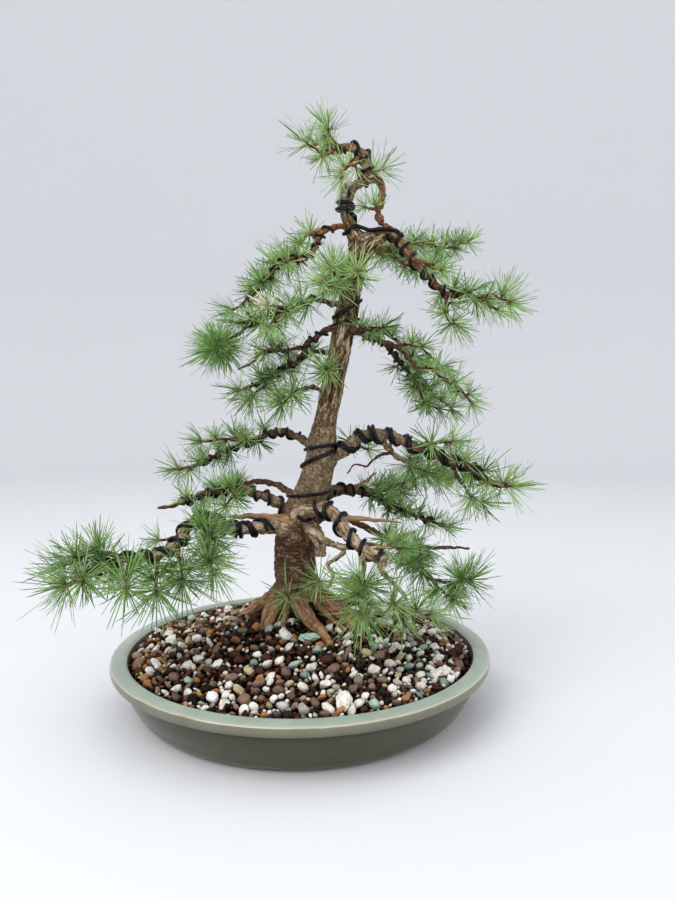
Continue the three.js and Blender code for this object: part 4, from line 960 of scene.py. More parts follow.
class Limb:
    """A limb's middle line in small even steps, with its half width and its directions at each."""

    STEP = 1.2

    # A limb is grown into the trunk's skin as far as its half width is over THICK. It isn't where that is
    # a stretch shorter than SHORTEST.
    THICK = 2.2
    SHORTEST = 5

    def __init__(self, name):
        root, tip, self.skin, points = LIMBS[name]
        self.line = even_points(points, self.STEP)
        share = np.linspace(0, 1, len(self.line))
        self.length = self.STEP * (len(self.line) - 1)
        distance = share * self.length
        if name == "trunk":
            self.radius = np.interp(self.line[:, 2], *zip(*TRUNK_GIRTH))
        else:
            # A branch swells into a collar where it leaves its parent, has knobs along it, and sways more
            # the further it is from its root. Its girth and number of points give it noise of its own.
            collar_swell, collar_reach = 0.3, 8
            knob_gap, knob_size = 2.6, 0.42 if self.skin in ("twig", "worn") else 0.2
            sway_gap, sway_size, sway_start = 6, 1.15, 12
            own = root * 9
            collar = collar_swell * np.exp(-distance / collar_reach)
            knobs = np.array([noise.noise((d / knob_gap, own, len(points) + 0.5)) for d in distance])
            self.radius = (root + (tip - root) * share) * (1 + collar) * (1 + knobs * knob_size)
            sway = np.array([noise.noise_vector((d / sway_gap, own, len(points))) for d in distance])
            self.line = self.line + sway * np.minimum(1, distance / sway_start)[:, None] * sway_size
        self.ahead, self.across, self.over = side_directions(self.line)
        thin = np.flatnonzero(self.radius < self.THICK)
        self.thick = int(thin[0]) if len(thin) else len(self.line)
        if self.thick * self.STEP < self.SHORTEST:
            self.thick = 0

    def at(self, shares):
        """The place, direction, two side directions and half width at these shares of the length."""
        spots = np.clip(np.asarray(shares, float), 0, 1) * (len(self.line) - 1)
        low = np.minimum(spots.astype(int), len(self.line) - 2)
        mix = (spots - low)[..., None]
        here, ahead, across, over, radius = (
            values[low] * (1 - mix) + values[low + 1] * mix
            for values in (self.line, self.ahead, self.across, self.over, self.radius[:, None])
        )
        return here, ahead, across, over, radius[..., 0]


# Without a seed, the noise vectors that bend the limbs would differ from one run to the next.
noise.seed_set(7)
TREE = {name: Limb(name) for name in LIMBS}


# The bed's height where it meets the pot, how much the mound adds to it, and the mound's crown.
BED_EDGE, MOUND, CROWN = 33, 22, (-8, 6)


def soil_height(x, y):
    """The bed's height: level at the rim and mounded round the trunk."""
    from_edge = np.minimum(1, np.hypot(x, y) / (RIM_RADIUS - 14))
    from_crown = np.hypot(np.asarray(x) - CROWN[0], np.asarray(y) - CROWN[1]) / (RIM_RADIUS - 10)
    return BED_EDGE + MOUND * (1 - from_edge**2) * np.exp(-1.2 * from_crown**2)


# The needle length, in millimetres, that the spacing and the number of needles in the settings are for.
USUAL_NEEDLE = 15


def tufts(settings):
    """Each tuft of each cluster: its cluster, root, direction, needle length and paleness."""
    found = []
    for cluster, stretches in CLUSTERS.items():
        for name, start, reach, *stop in stretches:
            rng = random.Random(name)
            limb = TREE[name]
            gap = settings.spacing / MM * (reach / USUAL_NEEDLE) ** 0.6 / CROWDED.get(name, 1)
            spot = start * limb.length + rng.uniform(0, 2)
            turn = rng.uniform(0, 2 * math.pi)
            end = limb.length * stop[0] if stop else limb.length - gap * 0.45
            while spot < end:
                # A shoot leaves its twig sideways, leaning a little ahead and up.
                here, ahead, across, over, radius = limb.at(spot / limb.length)
                out = across * math.cos(turn) + over * math.sin(turn)
                out = unit(out + 0.35 * ahead + np.array([0, 0, 0.35]))
                size = reach * rng.uniform(0.82, 1.06)
                found.append((cluster, here + out * radius * 0.7, out, size, name.endswith("pale")))
                spot += gap * rng.uniform(0.75, 1.25)
                turn += math.radians(GOLDEN_ANGLE + rng.uniform(-30, 30))
            if not stop:
                # A longer tuft closes the twig's end.
                here, ahead, _, _, _ = limb.at(1.0)
                out = unit(ahead + np.array([0, 0, 0.15]))
                found.append((cluster, here, out, reach * 1.08, name.endswith("pale")))
    return found


# ---------------------------------------------------------------- pot and screens


def pot_mesh(settings):
    """The pot: a shallow bowl with a banded lip and two drain holes."""
    rim, top, wall = RIM_RADIUS, POT_BOX[1].z / MM, settings.wall / MM
    rolled = 2.4
    lip = top - rolled - settings.lip / MM
    # The outline runs out along the foot, up the steep wall, round the lip, and down and in again inside.
    shape = Shape()
    shape.add(*lathe(rounded([
        (0, 0, 0),
        (rim - 24, 0, 1),
        (rim - 17.5, 4, 7),
        (rim - 9.4, 18, 9),
        (rim - 6.2, lip, 1.2),
        (rim - 0.9, lip + 0.6, 0.9),
        (rim, lip + rolled, 1.4),
        (rim - 0.4, top - 1.5, 1.0),
        (rim - 8.8, top - 0.1, 2),
        (rim - 11.2, top - 1.6, 1.4),
        (rim - 13, top - 10.5, 3),
        (rim - 23 - wall, wall, 5),
        (0, wall, 0),
    ]), 192))
    bowl = shape.mesh("pot_bowl")
    cutters = Shape()
    for x in DRAIN_HOLES.values():
        points, *faces, _ = tube([(x, 0, -wall), (x, 0, wall * 3)], DRAIN_RADIUS, 48)
        cutters.add(points, *faces)
    tool = bpy.data.objects.new("drill", cutters.mesh("drill"))
    bpy.context.scene.collection.objects.link(tool)
    made = baked(bowl, ("BOOLEAN", {"operation": "DIFFERENCE", "solver": "EXACT", "object": tool}))
    bpy.data.objects.remove(tool)
    made.set_sharp_from_angle(angle=math.radians(50))
    return made


def screen_mesh(x, settings):
    """A drainage screen: a square grid of strands inside a rim, flat on the pot's floor."""
    wide, cells, above_floor = 34, 8, 0.35
    strand = settings.strand / MM
    middle = settings.wall / MM + above_floor + strand / 2
    run = np.linspace(-wide / 2 + strand / 2, wide / 2 - strand / 2, cells + 1)
    shape = Shape()
    for i, offset in enumerate(run):
        half = strand / 2 if i in (0, cells) else strand * 0.36
        for line in ([(x + offset, y, middle) for y in run], [(x + y, offset, middle) for y in run]):
            points, *faces, _ = tube(line, half, 8)
            shape.add(points, *faces)
    return shape.mesh("drainage_screen")


# ---------------------------------------------------------------- soil, grains and stones


class Grit(NamedTuple):
    """A kind of grit: how common it is, and how its grains look."""

    finish: str
    front: float  # its share of the grains in front
    trunk: float  # its share of those by the trunk
    left: float  # how many times as common it is at the left
    coarse: float  # how many times as common it is among the large grains
    facets: float
    pits: float
    roughness: float
    soiling: float


GRIT = {
    # Chalky white and full of holes, greyed by soil in them.
    "pumice": Grit("washed_pumice", 0.25, 0.05, 1, 1.6, 0.7, 0.7, 0.8, 0.45),
    # Dull red-brown clinker, sharp and spongy.
    "lava": Grit("crushed_red_lava", 0.2, 0.44, 0.9, 0.7, 0.9, 0.9, 0.85, 0.6),
    # Rounded orange crumbs with a dry, even skin.
    "baked": Grit("baked_clay_grit", 0.09, 0.07, 2.2, 0.15, 0.4, 0.4, 0.8, 0.4),
    # Pale green, close-grained and chipped.
    "zeolite": Grit("tumbled_zeolite", 0.055, 0.02, 1, 1.2, 0.8, 0.3, 0.6, 0.3),
    # Near-black chips that catch a little light on their faces.
    "basalt": Grit("crushed_basalt", 0.13, 0.3, 1, 0.5, 0.9, 0.7, 0.7, 0.3),
    # Pinkish-brown and worn smooth.
    "gravel": Grit("river_gravel", 0.16, 0.08, 1, 1.3, 0.6, 0.4, 0.65, 0.7),
    # Olive to cream, dense, with a faint gloss.
    "chert": Grit("olive_chert", 0.05, 0.02, 2, 1.2, 0.7, 0.3, 0.6, 0.4),
}


def ball(subdivisions):
    """A geodesic ball of radius one: its points and triangles."""
    made = bmesh.new()
    bmesh.ops.create_icosphere(made, subdivisions=subdivisions, radius=1)
    points = np.array([tuple(v.co) for v in made.verts])
    faces = np.array([[v.index for v in f.verts] for f in made.faces])
    made.free()
    return points, faces


def pebble(points, rng, half, facets):
    """A ball's points as one grain: squashed, dented, cut into facets, roughened, turned and sheared."""
    squash = half * np.array([rng.uniform(0.95, 1.2), rng.uniform(0.85, 1.0), rng.uniform(0.7, 0.95)])
    dents = np.sin(points @ rng.normal(0, 2.4, (3, 3)) + rng.uniform(0, 6, 3)).sum(axis=1)
    made = points * (1 + 0.05 * dents)[:, None]
    for _ in range(round(4 + 9 * facets)):
        cut = unit(rng.normal(size=3))
        over = np.maximum(0, made @ cut - rng.uniform(0.62, 0.88))
        made = made - over[:, None] * cut * (0.6 + 0.4 * facets)
    made = made * (1 + 0.05 * np.sin(points @ rng.normal(0, 6, (3, 3))).sum(axis=1))[:, None] * squash
    spin, lean = rng.uniform(0, 2 * math.pi), rng.normal(0, 0.35, 2)
    turn = np.array([[math.cos(spin), -math.sin(spin), 0], [math.sin(spin), math.cos(spin), 0], [0, 0, 1]])
    made = made @ turn.T
    made[:, 2] += made[:, 0] * lean[0] + made[:, 1] * lean[1]
    return made


def grain_places(settings, rng):
    """Centres and half widths of the grains: the largest find room first, and small ones fill in."""
    largest, smallest = settings.largest / MM, settings.smallest / MM
    inner, roots_top = RIM_RADIUS - 13.4, 66
    # Two grains may overlap a little, and a grain may sink a little into a root.
    closest, sunk = 0.9, 0.4
    tries, tries_at_largest = 9 * settings.grains, 230
    cell = 2 * largest
    grid, found = {}, []
    wood = np.vstack([
        np.column_stack([limb.line, limb.radius])[limb.line[:, 2] < roots_top] for limb in TREE.values()
        if limb.skin == "bark"
    ])
    for attempt in range(tries):
        if len(found) >= settings.grains:
            break
        shrunk = largest / (1 + attempt / tries_at_largest) ** 0.25
        half = max(smallest, shrunk) * rng.uniform(0.75, 1.0)
        radius = (inner - half) * math.sqrt(rng.uniform())
        angle = rng.uniform(0, 2 * math.pi)
        x, y = radius * math.cos(angle), radius * math.sin(angle)
        key = (int(x // cell), int(y // cell))
        near = [g for i in (-1, 0, 1) for j in (-1, 0, 1) for g in grid.get((key[0] + i, key[1] + j), ())]
        if any((x - u) ** 2 + (y - v) ** 2 < (closest * (half + other)) ** 2 for u, v, other in near):
            continue
        z = float(soil_height(x, y))
        gaps = np.linalg.norm(wood[:, :3] - (x, y, z), axis=1) - wood[:, 3]
        if gaps.min() < half * sunk:
            continue
        grid.setdefault(key, []).append((x, y, half))
        found.append((x, y, z, half))
    return found


def grit_shapes(settings):
    """One shape of grains for each kind of grit."""
    rng = np.random.default_rng(11)
    shapes = {kind: Shape() for kind in GRIT}
    coarse_ball, fine_ball = ball(2), ball(3)
    kinds = list(GRIT)
    front, trunk, left, coarse = (
        np.array([getattr(kind, field) for kind in GRIT.values()])
        for field in ("front", "trunk", "left", "coarse")
    )
    dark_middle, dark_reach, left_edge = (-18, -8), 48, -30
    large, needs_fine_ball = 2.9, 2.7
    for x, y, z, half in grain_places(settings, rng):
        # Lava and basalt gather round the trunk, and the pale stones lie in front of it.
        from_middle = (x - dark_middle[0]) ** 2 + (y - dark_middle[1]) ** 2
        close = math.exp(-from_middle / dark_reach**2)
        odds = front * (1 - close) + trunk * close
        if x < left_edge:
            odds = odds * left
        if half > large:
            odds = odds * coarse
        kind = kinds[rng.choice(len(kinds), p=odds / odds.sum())]
        points, faces = fine_ball if half > needs_fine_ball else coarse_ball
        grain = pebble(points, rng, half, GRIT[kind].facets)
        # A grain's underside is painted darker: painted shade under it.
        underside_shade = np.clip(0.4 - grain[:, 2] / half, 0, 1)
        tone = np.clip(rng.normal(0.66 if kind == "pumice" else 0.5, 0.2) - 0.55 * underside_shade, 0, 1)
        shapes[kind].add(grain + (x, y, z + half * rng.uniform(-0.1, 0.3)), faces, tone=tone)
    return shapes


def bed_mesh():
    """The bed itself: fines that fill the pot up to just under the grains."""
    floor, flat, below_grains = 6.35, BED_EDGE + 1, 3.3
    top = np.linspace(RIM_RADIUS - 12.4, 2, 44)
    shape = Shape()
    points, *faces = lathe([
        (0, floor), (RIM_RADIUS - 31, floor), (RIM_RADIUS - 14.5, 25), (RIM_RADIUS - 12.6, 30),
        *[(radius, flat) for radius in top], (0, flat),
    ], 144)
    level = points[:, 2] > BED_EDGE
    x, y = points[level, 0], points[level, 1]
    lumps = np.array([noise.fractal((u / 5, v / 5, 0), 1, 2, 3) for u, v in zip(x, y)])
    points[level, 2] = soil_height(x, y) - below_grains + 0.6 * lumps
    shape.add(points, *faces)
    return shape.mesh("soil_fines")


# Each larger stone's kind of grit, place, half width, flatness, seed and paleness.
STONES = {
    "stone_zeolite": ("zeolite", (7, -37), 5.8, 0.62, 108, 0.95),
    "stone_pumice_left": ("pumice", (-9, -35.5), 4.6, 0.7, 186, 0.7),
    "stone_pumice_front": ("pumice", (28, -101), 4.8, 0.8, 68, 0.7),
    "stone_pumice_right": ("pumice", (86, -60), 4.7, 0.7, 257, 0.65),
}

# How flat a grain comes out of pebble, its height to its width.
PEBBLE_FLATNESS = 0.72


def stone_mesh(name):
    """A larger stone, half bedded in the grit."""
    kind, (x, y), half, flat, seed, pale = STONES[name]
    rng = np.random.default_rng(seed)
    points, faces = ball(5)
    made = pebble(points, rng, half, GRIT[kind].facets)
    rough = np.array([noise.fractal(tuple(p * 0.7), 1, 2, 4) for p in made])
    made = made + unit(made) * (rough * 0.18)[:, None]
    made[:, 2] *= flat / PEBBLE_FLATNESS
    shape = Shape()
    shape.add(made + (x, y, float(soil_height(x, y)) + half * flat * 0.45), faces, tone=pale)
    return shape.mesh(name)


# ---------------------------------------------------------------- wood

# How dead, how peeled and how young each skin is.
SKINS = {"bark": (0, 0, 0), "twig": (0, 0, 1), "worn": (0, 0.95, 0.1), "tan": (0, 1, 0), "dead": (1, 0, 0)}


def skins(limb):
    """How dead, peeled and young the limb's skin is along it: a branch's thick root has old bark."""
    old_from, young_to = 4.6, 2.4
    dead, peeled, young = (np.full(len(limb.line), value, float) for value in SKINS[limb.skin])
    return dead, peeled, young * np.clip((old_from - limb.radius) / (old_from - young_to), 0, 1)


def between(value, low, high):
    """How far a value is from low to high, from 0 to 1."""
    return min(1.0, max(0.0, (value - low) / (high - low)))


def relieved(points, normals, grain, girth, smooth, knobby, relief):
    """Bark: plates, wrinkles and knobs, pushed in and out. Gives the moved points and where cracks are."""
    moved, cracks = [], []
    rows = zip(points, normals, grain, girth, smooth, knobby)
    for point, normal, (a, b, c), size, calm, knob in rows:
        # High up the bark has long plates and streaks, low down short plates and wrinkles, and on the roots
        # it is thin.
        high = between(point[2], 175, 215)
        aged = max(0.15, between(point[2], 60, 78))
        wide = 0.9 + 0.13 * size
        long = wide * (1.1 + 2.6 * high)
        warp = noise.noise((a / 3, b / 3, c / 6)) * 0.8
        distances, centres = noise.voronoi((a / wide + warp, b / wide + warp, c / long))
        crack = between(distances[1] - distances[0], 0, 0.22)
        deep = relief * min(1.0, 0.12 + size / 14) * (1 - 0.85 * calm) * (0.5 + 0.5 * high) * aged
        lump = noise.fractal((a / 9, b / 9, c / 26), 1, 2, 3) * min(1.1, size * 0.1)
        wrinkle = noise.fractal((a / 9, b / 9, c / 2.4), 1, 2, 2) * relief * 0.45 * (1 - high)
        wrinkle = wrinkle * min(1, size / 8) * aged
        streak = noise.fractal((a / 2.4, b / 2.4, c / 12), 1, 2, 2) * relief * 0.5 * high * min(1, size / 6)
        knots = noise.fractal((a / 5, b / 5, c / 3.2), 1, 2, 2) * knob * min(1.1, size * 0.36)
        # Each plate stands at its own height.
        plate = deep * (0.7 * crack - 0.6 + 0.35 * noise.cell(centres[0] * 7.3))
        moved.append(point + normal * (plate + lump + (wrinkle + streak) * (1 - calm) + knots))
        cracks.append(crack + (1 - crack) * calm)
    return np.array(moved), np.array(cracks)


def thick_wood(settings):
    """Trunk, roots and the thick roots of the branches, grown together into one skin."""
    raw, stretches = Shape(), []
    for limb in TREE.values():
        if not limb.thick:
            continue
        points, *faces, _ = tube(limb.line[:limb.thick], limb.radius[:limb.thick], 20)
        raw.add(points, *faces)
        distance = np.arange(len(limb.line)) * Limb.STEP
        columns = (limb.line, limb.radius, distance, limb.across, limb.over, *skins(limb))
        stretches.append([column[:limb.thick] for column in columns])
    mesh = baked(
        raw.mesh("thick_wood"),
        ("REMESH", {"mode": "VOXEL", "voxel_size": settings.detail, "use_smooth_shade": True}),
        ("SMOOTH", {"factor": 0.5, "iterations": 5}),
    )
    points = points_of(mesh)
    normals = np.array([tuple(v.normal) for v in mesh.vertices])
    # Each point takes its grain and its skin from the place on a limb that is nearest for its girth.
    columns = [np.concatenate(parts) for parts in zip(*stretches)]
    lines, girths = columns[:2]
    nearest = np.concatenate([
        np.argmin(np.linalg.norm(block[:, None] - lines, axis=2) / girths, axis=1)
        for block in np.array_split(points, max(1, len(points) // 2000))
    ])
    middle, girth, distance, across, over, dead, peeled, young = (column[nearest] for column in columns)
    offset = points - middle
    grain = np.column_stack([(offset * across).sum(axis=1), (offset * over).sum(axis=1), distance])
    calm, knobby = np.maximum(dead, 0.5 * young), np.maximum(peeled, 0.5 * young)
    moved, crack = relieved(points, normals, grain, girth, calm, knobby, settings.relief / MM)
    faces = [tuple(face.vertices) for face in mesh.polygons]
    bpy.data.meshes.remove(mesh)
    shape = Shape()
    shape.add(moved, faces, grain=grain, crack=crack, dead=dead, peeled=peeled, young=young)
    return shape.mesh("larch_trunk")


# The short shoot that carries a tuft: how far along each station is, and its half width.
SPUR = [(-0.8, 0.9), (0.1, 0.9), (0.45, 1.0), (0.8, 0.85), (1.0, 0.4)]


def thin_wood(settings, needles):
    """Branches, twigs and the short shoots that carry the tufts."""
    shape = Shape()
    for limb in TREE.values():
        # A branch starts a little inside the thick wood that it grows out of.
        first = max(0, limb.thick - 4)
        if first > len(limb.line) - 4:
            continue
        line, girth = limb.line[first:], limb.radius[first:].copy()
        girth[-1] *= 0.55
        sides = 10 if girth.max() > 1.6 else 8
        points, *faces, grain = tube(line, girth, sides)
        station = np.append(np.repeat(np.arange(len(line)), sides), [0, len(line) - 1])
        grain[:, 2] += first * Limb.STEP
        normals = unit(points - line[station] + 1e-9)
        dead, peeled, young = (value[first:][station] for value in skins(limb))
        moved, crack = relieved(
            points, normals, grain, girth[station], dead, np.maximum(peeled, young), settings.relief / MM
        )
        shape.add(moved, *faces, grain=grain, crack=crack, dead=dead, peeled=peeled, young=young)
    spur, (steps, widths) = settings.spur / MM, np.transpose(SPUR)
    for i, (_, root, out, size, _) in enumerate(tufts(needles)):
        points, *faces, grain = tube(root + out * (steps * spur)[:, None], widths * (0.7 + size / 60), 7)
        grain += i * 3.7
        shape.add(points, *faces, grain=grain, crack=1, dead=0, peeled=0, young=1)
    return shape.mesh("larch_branches")


# ---------------------------------------------------------------- wires


def bark_finder():
    """A finder of the first bark met on the way out from inside a limb."""
    trees = [
        BVHTree.FromPolygons([tuple(p) for p in points_of(mesh)], [tuple(f.vertices) for f in mesh.polygons])
        for mesh in (bpy.data.meshes["larch_trunk"], bpy.data.meshes["larch_branches"])
    ]

    def reach(place_in, out, least, most):
        hits = [tree.ray_cast(Vector(place_in), Vector(out), most)[3] for tree in trees]
        return max([hit for hit in hits if hit is not None and hit >= least], default=least)

    return reach


def wound(places, outs, radii, half, reach, gap):
    """A wire's middle line: it lies on the bark, and is too stiff to follow each dent."""
    least, most = radii * 0.8, radii * 1.5 + 1
    lifts = np.array([
        min(reach(place_in, out, low, high), high)
        for place_in, out, low, high in zip(places, outs, least, most)
    ])
    lifts = np.maximum(smoothed(lifts[:, None], 9)[:, 0], lifts * 0.97)
    return places + outs * (lifts + half + gap)[:, None]


def add_wire(shape, line, half):
    """A round wire with softly cut ends."""
    step, most_given = 1.1, 400
    line = even_points(line[:: max(1, len(line) // most_given)], step)
    radii = np.full(len(line), half)
    radii[0] = radii[-1] = half * 0.75
    points, *faces, _ = tube(line, radii, 9)
    shape.add(points, *faces)


# Places worked out for each turn of a wire.
STEPS_IN_A_TURN = 24


def add_coil(shape, name, settings, reach):
    """A wire wound on a branch, one strand or two side by side."""
    limb_name, start, stop, turns, half, strands = COILS[name]
    limb, rng = TREE[limb_name], random.Random(name)
    phase = rng.uniform(0, 2 * math.pi)
    along = np.linspace(0, 1, round(turns * STEPS_IN_A_TURN))
    # The turns are wound by hand, some closer than others, and a second strand lies beside the first.
    unevenness, turns_a_lump, strand_gap = 0.35, 1.7, 2.15 * half
    lumps = np.array([noise.noise((a * turns / turns_a_lump, phase, 0)) for a in along])
    uneven = along + unevenness / turns * lumps
    for strand in range(strands):
        shift = strand * strand_gap / limb.length
        spots = np.clip(start + (stop - start) * uneven + shift, 0.01, 0.995)
        places, _, across, over, radii = limb.at(spots)
        angles = phase + 2 * math.pi * turns * along
        outs = across * np.cos(angles)[:, None] + over * np.sin(angles)[:, None]
        add_wire(shape, wound(places, outs, radii, half, reach, settings.gap / MM), half)


def add_trunk_wire(shape, name, settings, reach):
    """A wire that crosses the trunk on its way from one branch to another."""
    half, stations = TRUNK_WIRES[name]
    trunk = TREE["trunk"]
    turns, heights = zip(*stations)
    share = np.linspace(0, 1, len(stations))
    fine = np.linspace(0, 1, STEPS_IN_A_TURN * len(stations))
    angles = np.radians(np.interp(fine, share, turns))
    levels = np.interp(fine, share, heights)
    places = np.stack([np.interp(levels, trunk.line[:, 2], trunk.line[:, axis]) for axis in range(3)], axis=1)
    radii = np.interp(levels, trunk.line[:, 2], trunk.radius)
    outs = np.stack([np.sin(angles), -np.cos(angles), np.zeros_like(angles)], axis=1)
    if name in LEADS:
        # The wire leaves its branch first, and eases from one course to the other.
        lead = [(*inside, *out, radius) for inside, out, radius in LEADS[name]]
        rows = np.array([*lead, (*places[0], *outs[0], radii[0])])
        spots, knots = np.linspace(0, 1, 12 * len(rows)), np.linspace(0, 1, len(rows))
        fine_lead = np.stack([np.interp(spots, knots, column) for column in rows.T], axis=1)
        rows = smoothed(np.vstack([fine_lead[:-1], np.column_stack([places, outs, radii])]), 15)
        places, outs, radii = rows[:, :3], unit(rows[:, 3:6]), rows[:, 6]
    add_wire(shape, wound(places, outs, radii, half, reach, settings.gap / MM), half)


# ---------------------------------------------------------------- needles

# A needle's stations: share of its length and of its half width. Its section is flat with a keel below.
STATIONS = np.array([(0.0, 0.75), (0.45, 1.0), (0.9, 0.7)])
SECTION = np.array([(-1.0, 0.15), (1.0, 0.15), (0.0, -0.6)])


def needle_faces():
    """The quads and triangles of one needle of three corners at each station and one point at the tip."""
    quads, corners = [], len(SECTION)
    for here in range(0, (len(STATIONS) - 1) * corners, corners):
        there = here + corners
        for j in range(corners):
            after = (j + 1) % corners
            quads.append((here + j, here + after, there + after, there + j))
    foot, tip = (len(STATIONS) - 1) * corners, len(STATIONS) * corners
    ends = [(foot + j, foot + (j + 1) % corners, tip) for j in range(corners)]
    return np.array(quads), np.array([*ends, (2, 1, 0)])


def add_tuft(shape, rng, root, out, reach, lean, width, pale):
    """A tuft: needles that fan out from a short shoot all round its direction, each leaning its own way."""
    quads, ends = needle_faces()
    count = len(lean)
    turn = np.arange(count) * math.radians(GOLDEN_ANGLE) + rng.uniform(0, 0.6, count)
    side = unit(np.cross(out, (0.3, 0.2, 0.93)))
    over = np.cross(out, side)
    spread = side * np.cos(turn)[:, None] + over * np.sin(turn)[:, None]
    ahead = out * lean[:, None] + spread * np.sqrt(1 - lean**2)[:, None]
    ahead = unit(ahead + rng.normal(0, 0.08, (count, 3)))
    size = reach * rng.uniform(0.62, 1.1, count)
    bend = out * 0.16 + rng.normal(0, 0.14, (count, 3)) + (0, 0, 0.03)
    flat = unit(np.cross(ahead, out) + 1e-6)
    keel = np.cross(ahead, flat)
    share, wide = STATIONS[:, 0], STATIONS[:, 1] * width / 2
    middle = root + size[:, None, None] * (
        ahead[:, None] * share[None, :, None] + bend[:, None] * (share**2)[None, :, None]
    )
    corners = (
        middle[:, :, None]
        + flat[:, None, None] * (SECTION[:, 0] * wide[:, None])[None, :, :, None]
        + keel[:, None, None] * (SECTION[:, 1] * wide[:, None])[None, :, :, None]
    ).reshape(count, -1, 3)
    tips = (root + size[:, None] * (ahead + bend))[:, None]
    points = np.concatenate([corners, tips], axis=1)
    each = points.shape[1]
    starts = (np.arange(count) * each)[:, None, None]
    tone = np.clip(rng.normal(0.52, 0.12) + rng.normal(0, 0.23, count), 0, 1)
    along = np.append(np.repeat(share, len(SECTION)), 1.0)
    shape.add(
        points.reshape(-1, 3),
        (quads[None] + starts).reshape(-1, 4),
        (ends[None] + starts).reshape(-1, 3),
        tone=np.repeat(tone, each),
        reach=np.tile(along, count),
        pale=float(pale),
    )


def needle_shapes(settings, spur):
    """One shape of needles for each cluster."""
    rng = np.random.default_rng(5)
    shapes = {cluster: Shape() for cluster in CLUSTERS}
    for cluster, root, out, reach, pale in tufts(settings):
        full = FULLNESS.get(cluster, 1.0)
        count = round(settings.count * full * (reach / USUAL_NEEDLE) ** 0.5 * rng.uniform(0.75, 1.15))
        # The very full tuft is a ball, with needles pointing back too.
        lean = rng.uniform(-0.9 if full > 2 else -0.15, 0.98, count)
        add_tuft(shapes[cluster], rng, root + out * spur * 0.8, out, reach, lean, settings.width / MM, pale)
    return shapes


# ---------------------------------------------------------------- operators


class BONSAI_OT_pot(bpy.types.Operator):
    """Makes the glazed pot and its two drainage screens"""

    bl_idname = "bonsai.pot"
    bl_label = "Pot and Screens"

    def execute(self, context):
        settings = context.scene.bonsai.pot
        place("celadon_pot", pot_mesh(settings), celadon_glaze(settings), ["pot"])
        plastic = screen_plastic(settings)
        for side, x in DRAIN_HOLES.items():
            node = f"drainage_screen_{side}"
            place(f"mesh_screen_{side}", screen_mesh(x, settings), plastic, [node])
        return {"FINISHED"}


class BONSAI_OT_soil(bpy.types.Operator):
    """Makes the bed of fines, its grains by kind, and the larger stones"""

    bl_idname = "bonsai.soil"
    bl_label = "Soil and Stones"

    def execute(self, context):
        settings = context.scene.bonsai.soil
        place("soil_fines", bed_mesh(), soil_fines(settings), ["soil_bed"])
        finishes = {name: grit(kind, tuple(getattr(settings, name))) for name, kind in GRIT.items()}
        for kind, shape in grit_shapes(settings).items():
            place(f"grit_{kind}", shape.mesh(f"grit_{kind}"), finishes[kind], ["soil_bed"])
        for name, (kind, *_) in STONES.items():
            place(f"large_{name}", stone_mesh(name), finishes[kind], [name])
        return {"FINISHED"}


class BONSAI_OT_wood(bpy.types.Operator):
    """Grows the trunk, roots, branches, deadwood and short shoots"""

    bl_idname = "bonsai.wood"
    bl_label = "Wood"

    def execute(self, context):
        settings, needles = context.scene.bonsai.wood, context.scene.bonsai.needles
        bark = larch_bark(settings)
        place("larch_trunk", thick_wood(settings), bark, ["larch_wood"])
        place("larch_branches", thin_wood(settings, needles), bark, ["larch_wood"])
        return {"FINISHED"}


class BONSAI_OT_wires(bpy.types.Operator):
    """Winds the wires on the branches and round the trunk"""

    bl_idname = "bonsai.wires"
    bl_label = "Wires"

    def execute(self, context):
        settings = context.scene.bonsai.wires
        metal = anodised_wire(settings)
        reach = bark_finder()
        for name in {**COILS, **TRUNK_WIRES}:
            shape = Shape()
            if name in COILS:
                add_coil(shape, name, settings, reach)
            if name in TRUNK_WIRES:
                add_trunk_wire(shape, name, settings, reach)
            place(f"shaping_{name}", shape.mesh(name), metal, [name])
        return {"FINISHED"}


class BONSAI_OT_needles(bpy.types.Operator):
    """Grows the tufts of needles, one piece for each cluster"""

    bl_idname = "bonsai.needles"
    bl_label = "Needles"

    def execute(self, context):
        settings = context.scene.bonsai.needles
        leaf = larch_needle(settings)
        for cluster, shape in needle_shapes(settings, context.scene.bonsai.wood.spur / MM).items():
            name = f"tufts_{cluster}"
            place(name, shape.mesh(name), leaf, [f"needles_{cluster}"])
        return {"FINISHED"}


# The backdrop is a turned sheet: the floor's reach, the wall's height and the bend between them.
SWEEP_REACH, SWEEP_HEIGHT, SWEEP_BEND = 3000, 3200, 900

# In metres: the side of each square light and where it hangs, and the middle of the tree, which they face.
LIGHTS = {"key": (1.1, (-0.75, -0.9, 1.25)), "fill": (1.4, (1.1, -0.8, 0.7))}
LIT = (0, 0, 0.16)

# Where the camera stands, and how many degrees below level it looks.
CAMERA_PLACE, CAMERA_DIP = (24.8, -459.4, 193.4), 2.62


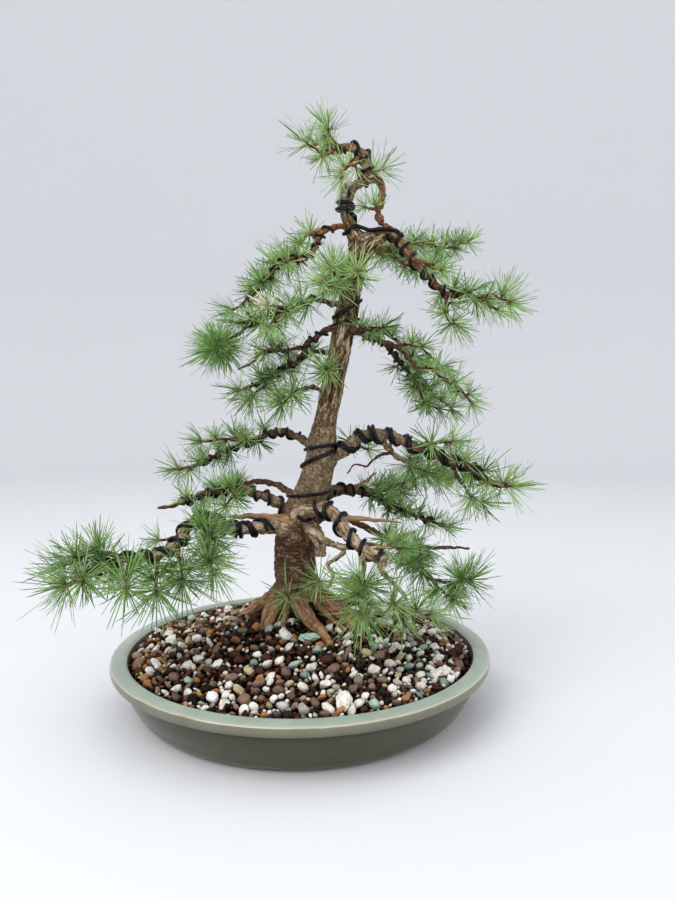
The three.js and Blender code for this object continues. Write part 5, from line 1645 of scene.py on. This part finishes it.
class BONSAI_OT_stage(bpy.types.Operator):
    """Sets the pale floor, the soft light and the camera"""

    bl_idname = "bonsai.stage"
    bl_label = "Stage"

    def execute(self, context):
        settings, scene = context.scene.bonsai.stage, context.scene
        curve = [
            (SWEEP_REACH - SWEEP_BEND + SWEEP_BEND * math.sin(a), SWEEP_BEND - SWEEP_BEND * math.cos(a))
            for a in np.linspace(0, math.pi / 2, 16)
        ]
        sweep = Shape()
        points, quads, start, _ = lathe([(0, 0), *curve, (SWEEP_REACH, SWEEP_HEIGHT), (0, SWEEP_HEIGHT)], 96)
        sweep.add(points, quads[:, ::-1], start[:, ::-1])
        backdrop = bpy.data.objects.new("studio_sweep", sweep.mesh("studio_sweep"))
        backdrop.data.materials.append(studio_paper(settings))
        scene.collection.objects.link(backdrop)

        scene.world = bpy.data.worlds.new("soft_daylight")
        scene.world.use_nodes = True
        sky = scene.world.node_tree.nodes["Background"]
        fill(sky, {"Color": tuple(settings.sky), "Strength": settings.sky_strength})
        for name, (side, at) in LIGHTS.items():
            data = bpy.data.lights.new(name, "AREA")
            data.energy, data.size = getattr(settings, name), side
            light = bpy.data.objects.new(name, data)
            light.location = at
            light.rotation_euler = (Vector(LIT) - Vector(at)).to_track_quat("-Z", "Y").to_euler()
            light.visible_camera = False
            scene.collection.objects.link(light)

        data = bpy.data.cameras.new("camera")
        data.lens, data.sensor_width, data.clip_start = settings.lens, 36, 0.01
        camera = bpy.data.objects.new("camera", data)
        camera.location = Vector(CAMERA_PLACE) * MM
        camera.rotation_euler = (math.radians(90 - CAMERA_DIP), 0, 0)
        scene.collection.objects.link(camera)
        scene.camera = camera
        scene.view_settings.view_transform = "Standard"
        return {"FINISHED"}


class BONSAI_PT_bonsai(bpy.types.Panel):
    """Lists the bonsai's settings and the pieces that they make"""

    bl_idname = "BONSAI_PT_bonsai"
    bl_label = "Larch Bonsai"
    bl_space_type = "VIEW_3D"
    bl_region_type = "UI"
    bl_category = "Bonsai"

    def draw(self, context):
        bonsai = context.scene.bonsai
        for operator, group in (
            (BONSAI_OT_pot, bonsai.pot),
            (BONSAI_OT_soil, bonsai.soil),
            (BONSAI_OT_wood, bonsai.wood),
            (BONSAI_OT_wires, bonsai.wires),
            (BONSAI_OT_needles, bonsai.needles),
            (BONSAI_OT_stage, bonsai.stage),
        ):
            box = self.layout.box()
            box.operator(operator.bl_idname)
            for key in group.bl_rna.properties.keys():
                if key not in ("rna_type", "name"):
                    box.prop(group, key)


CLASSES = (
    PotSettings, SoilSettings, WoodSettings, WireSettings, NeedleSettings, StageSettings, BonsaiSettings,
    BONSAI_OT_pot, BONSAI_OT_soil, BONSAI_OT_wood, BONSAI_OT_wires, BONSAI_OT_needles, BONSAI_OT_stage,
    BONSAI_PT_bonsai,
)


def register():
    """Registers the classes and the scene's settings."""
    for cls in CLASSES:
        bpy.utils.register_class(cls)
    bpy.types.Scene.bonsai = PointerProperty(type=BonsaiSettings)


def unregister():
    """Removes the settings and the classes."""
    del bpy.types.Scene.bonsai
    for cls in reversed(CLASSES):
        bpy.utils.unregister_class(cls)


def main():
    """Builds the bonsai piece by piece."""
    register()
    bpy.ops.bonsai.pot()
    bpy.ops.bonsai.soil()
    bpy.ops.bonsai.wood()
    bpy.ops.bonsai.wires()
    bpy.ops.bonsai.needles()
    bpy.ops.bonsai.stage()


if __name__ == "__main__":
    main()
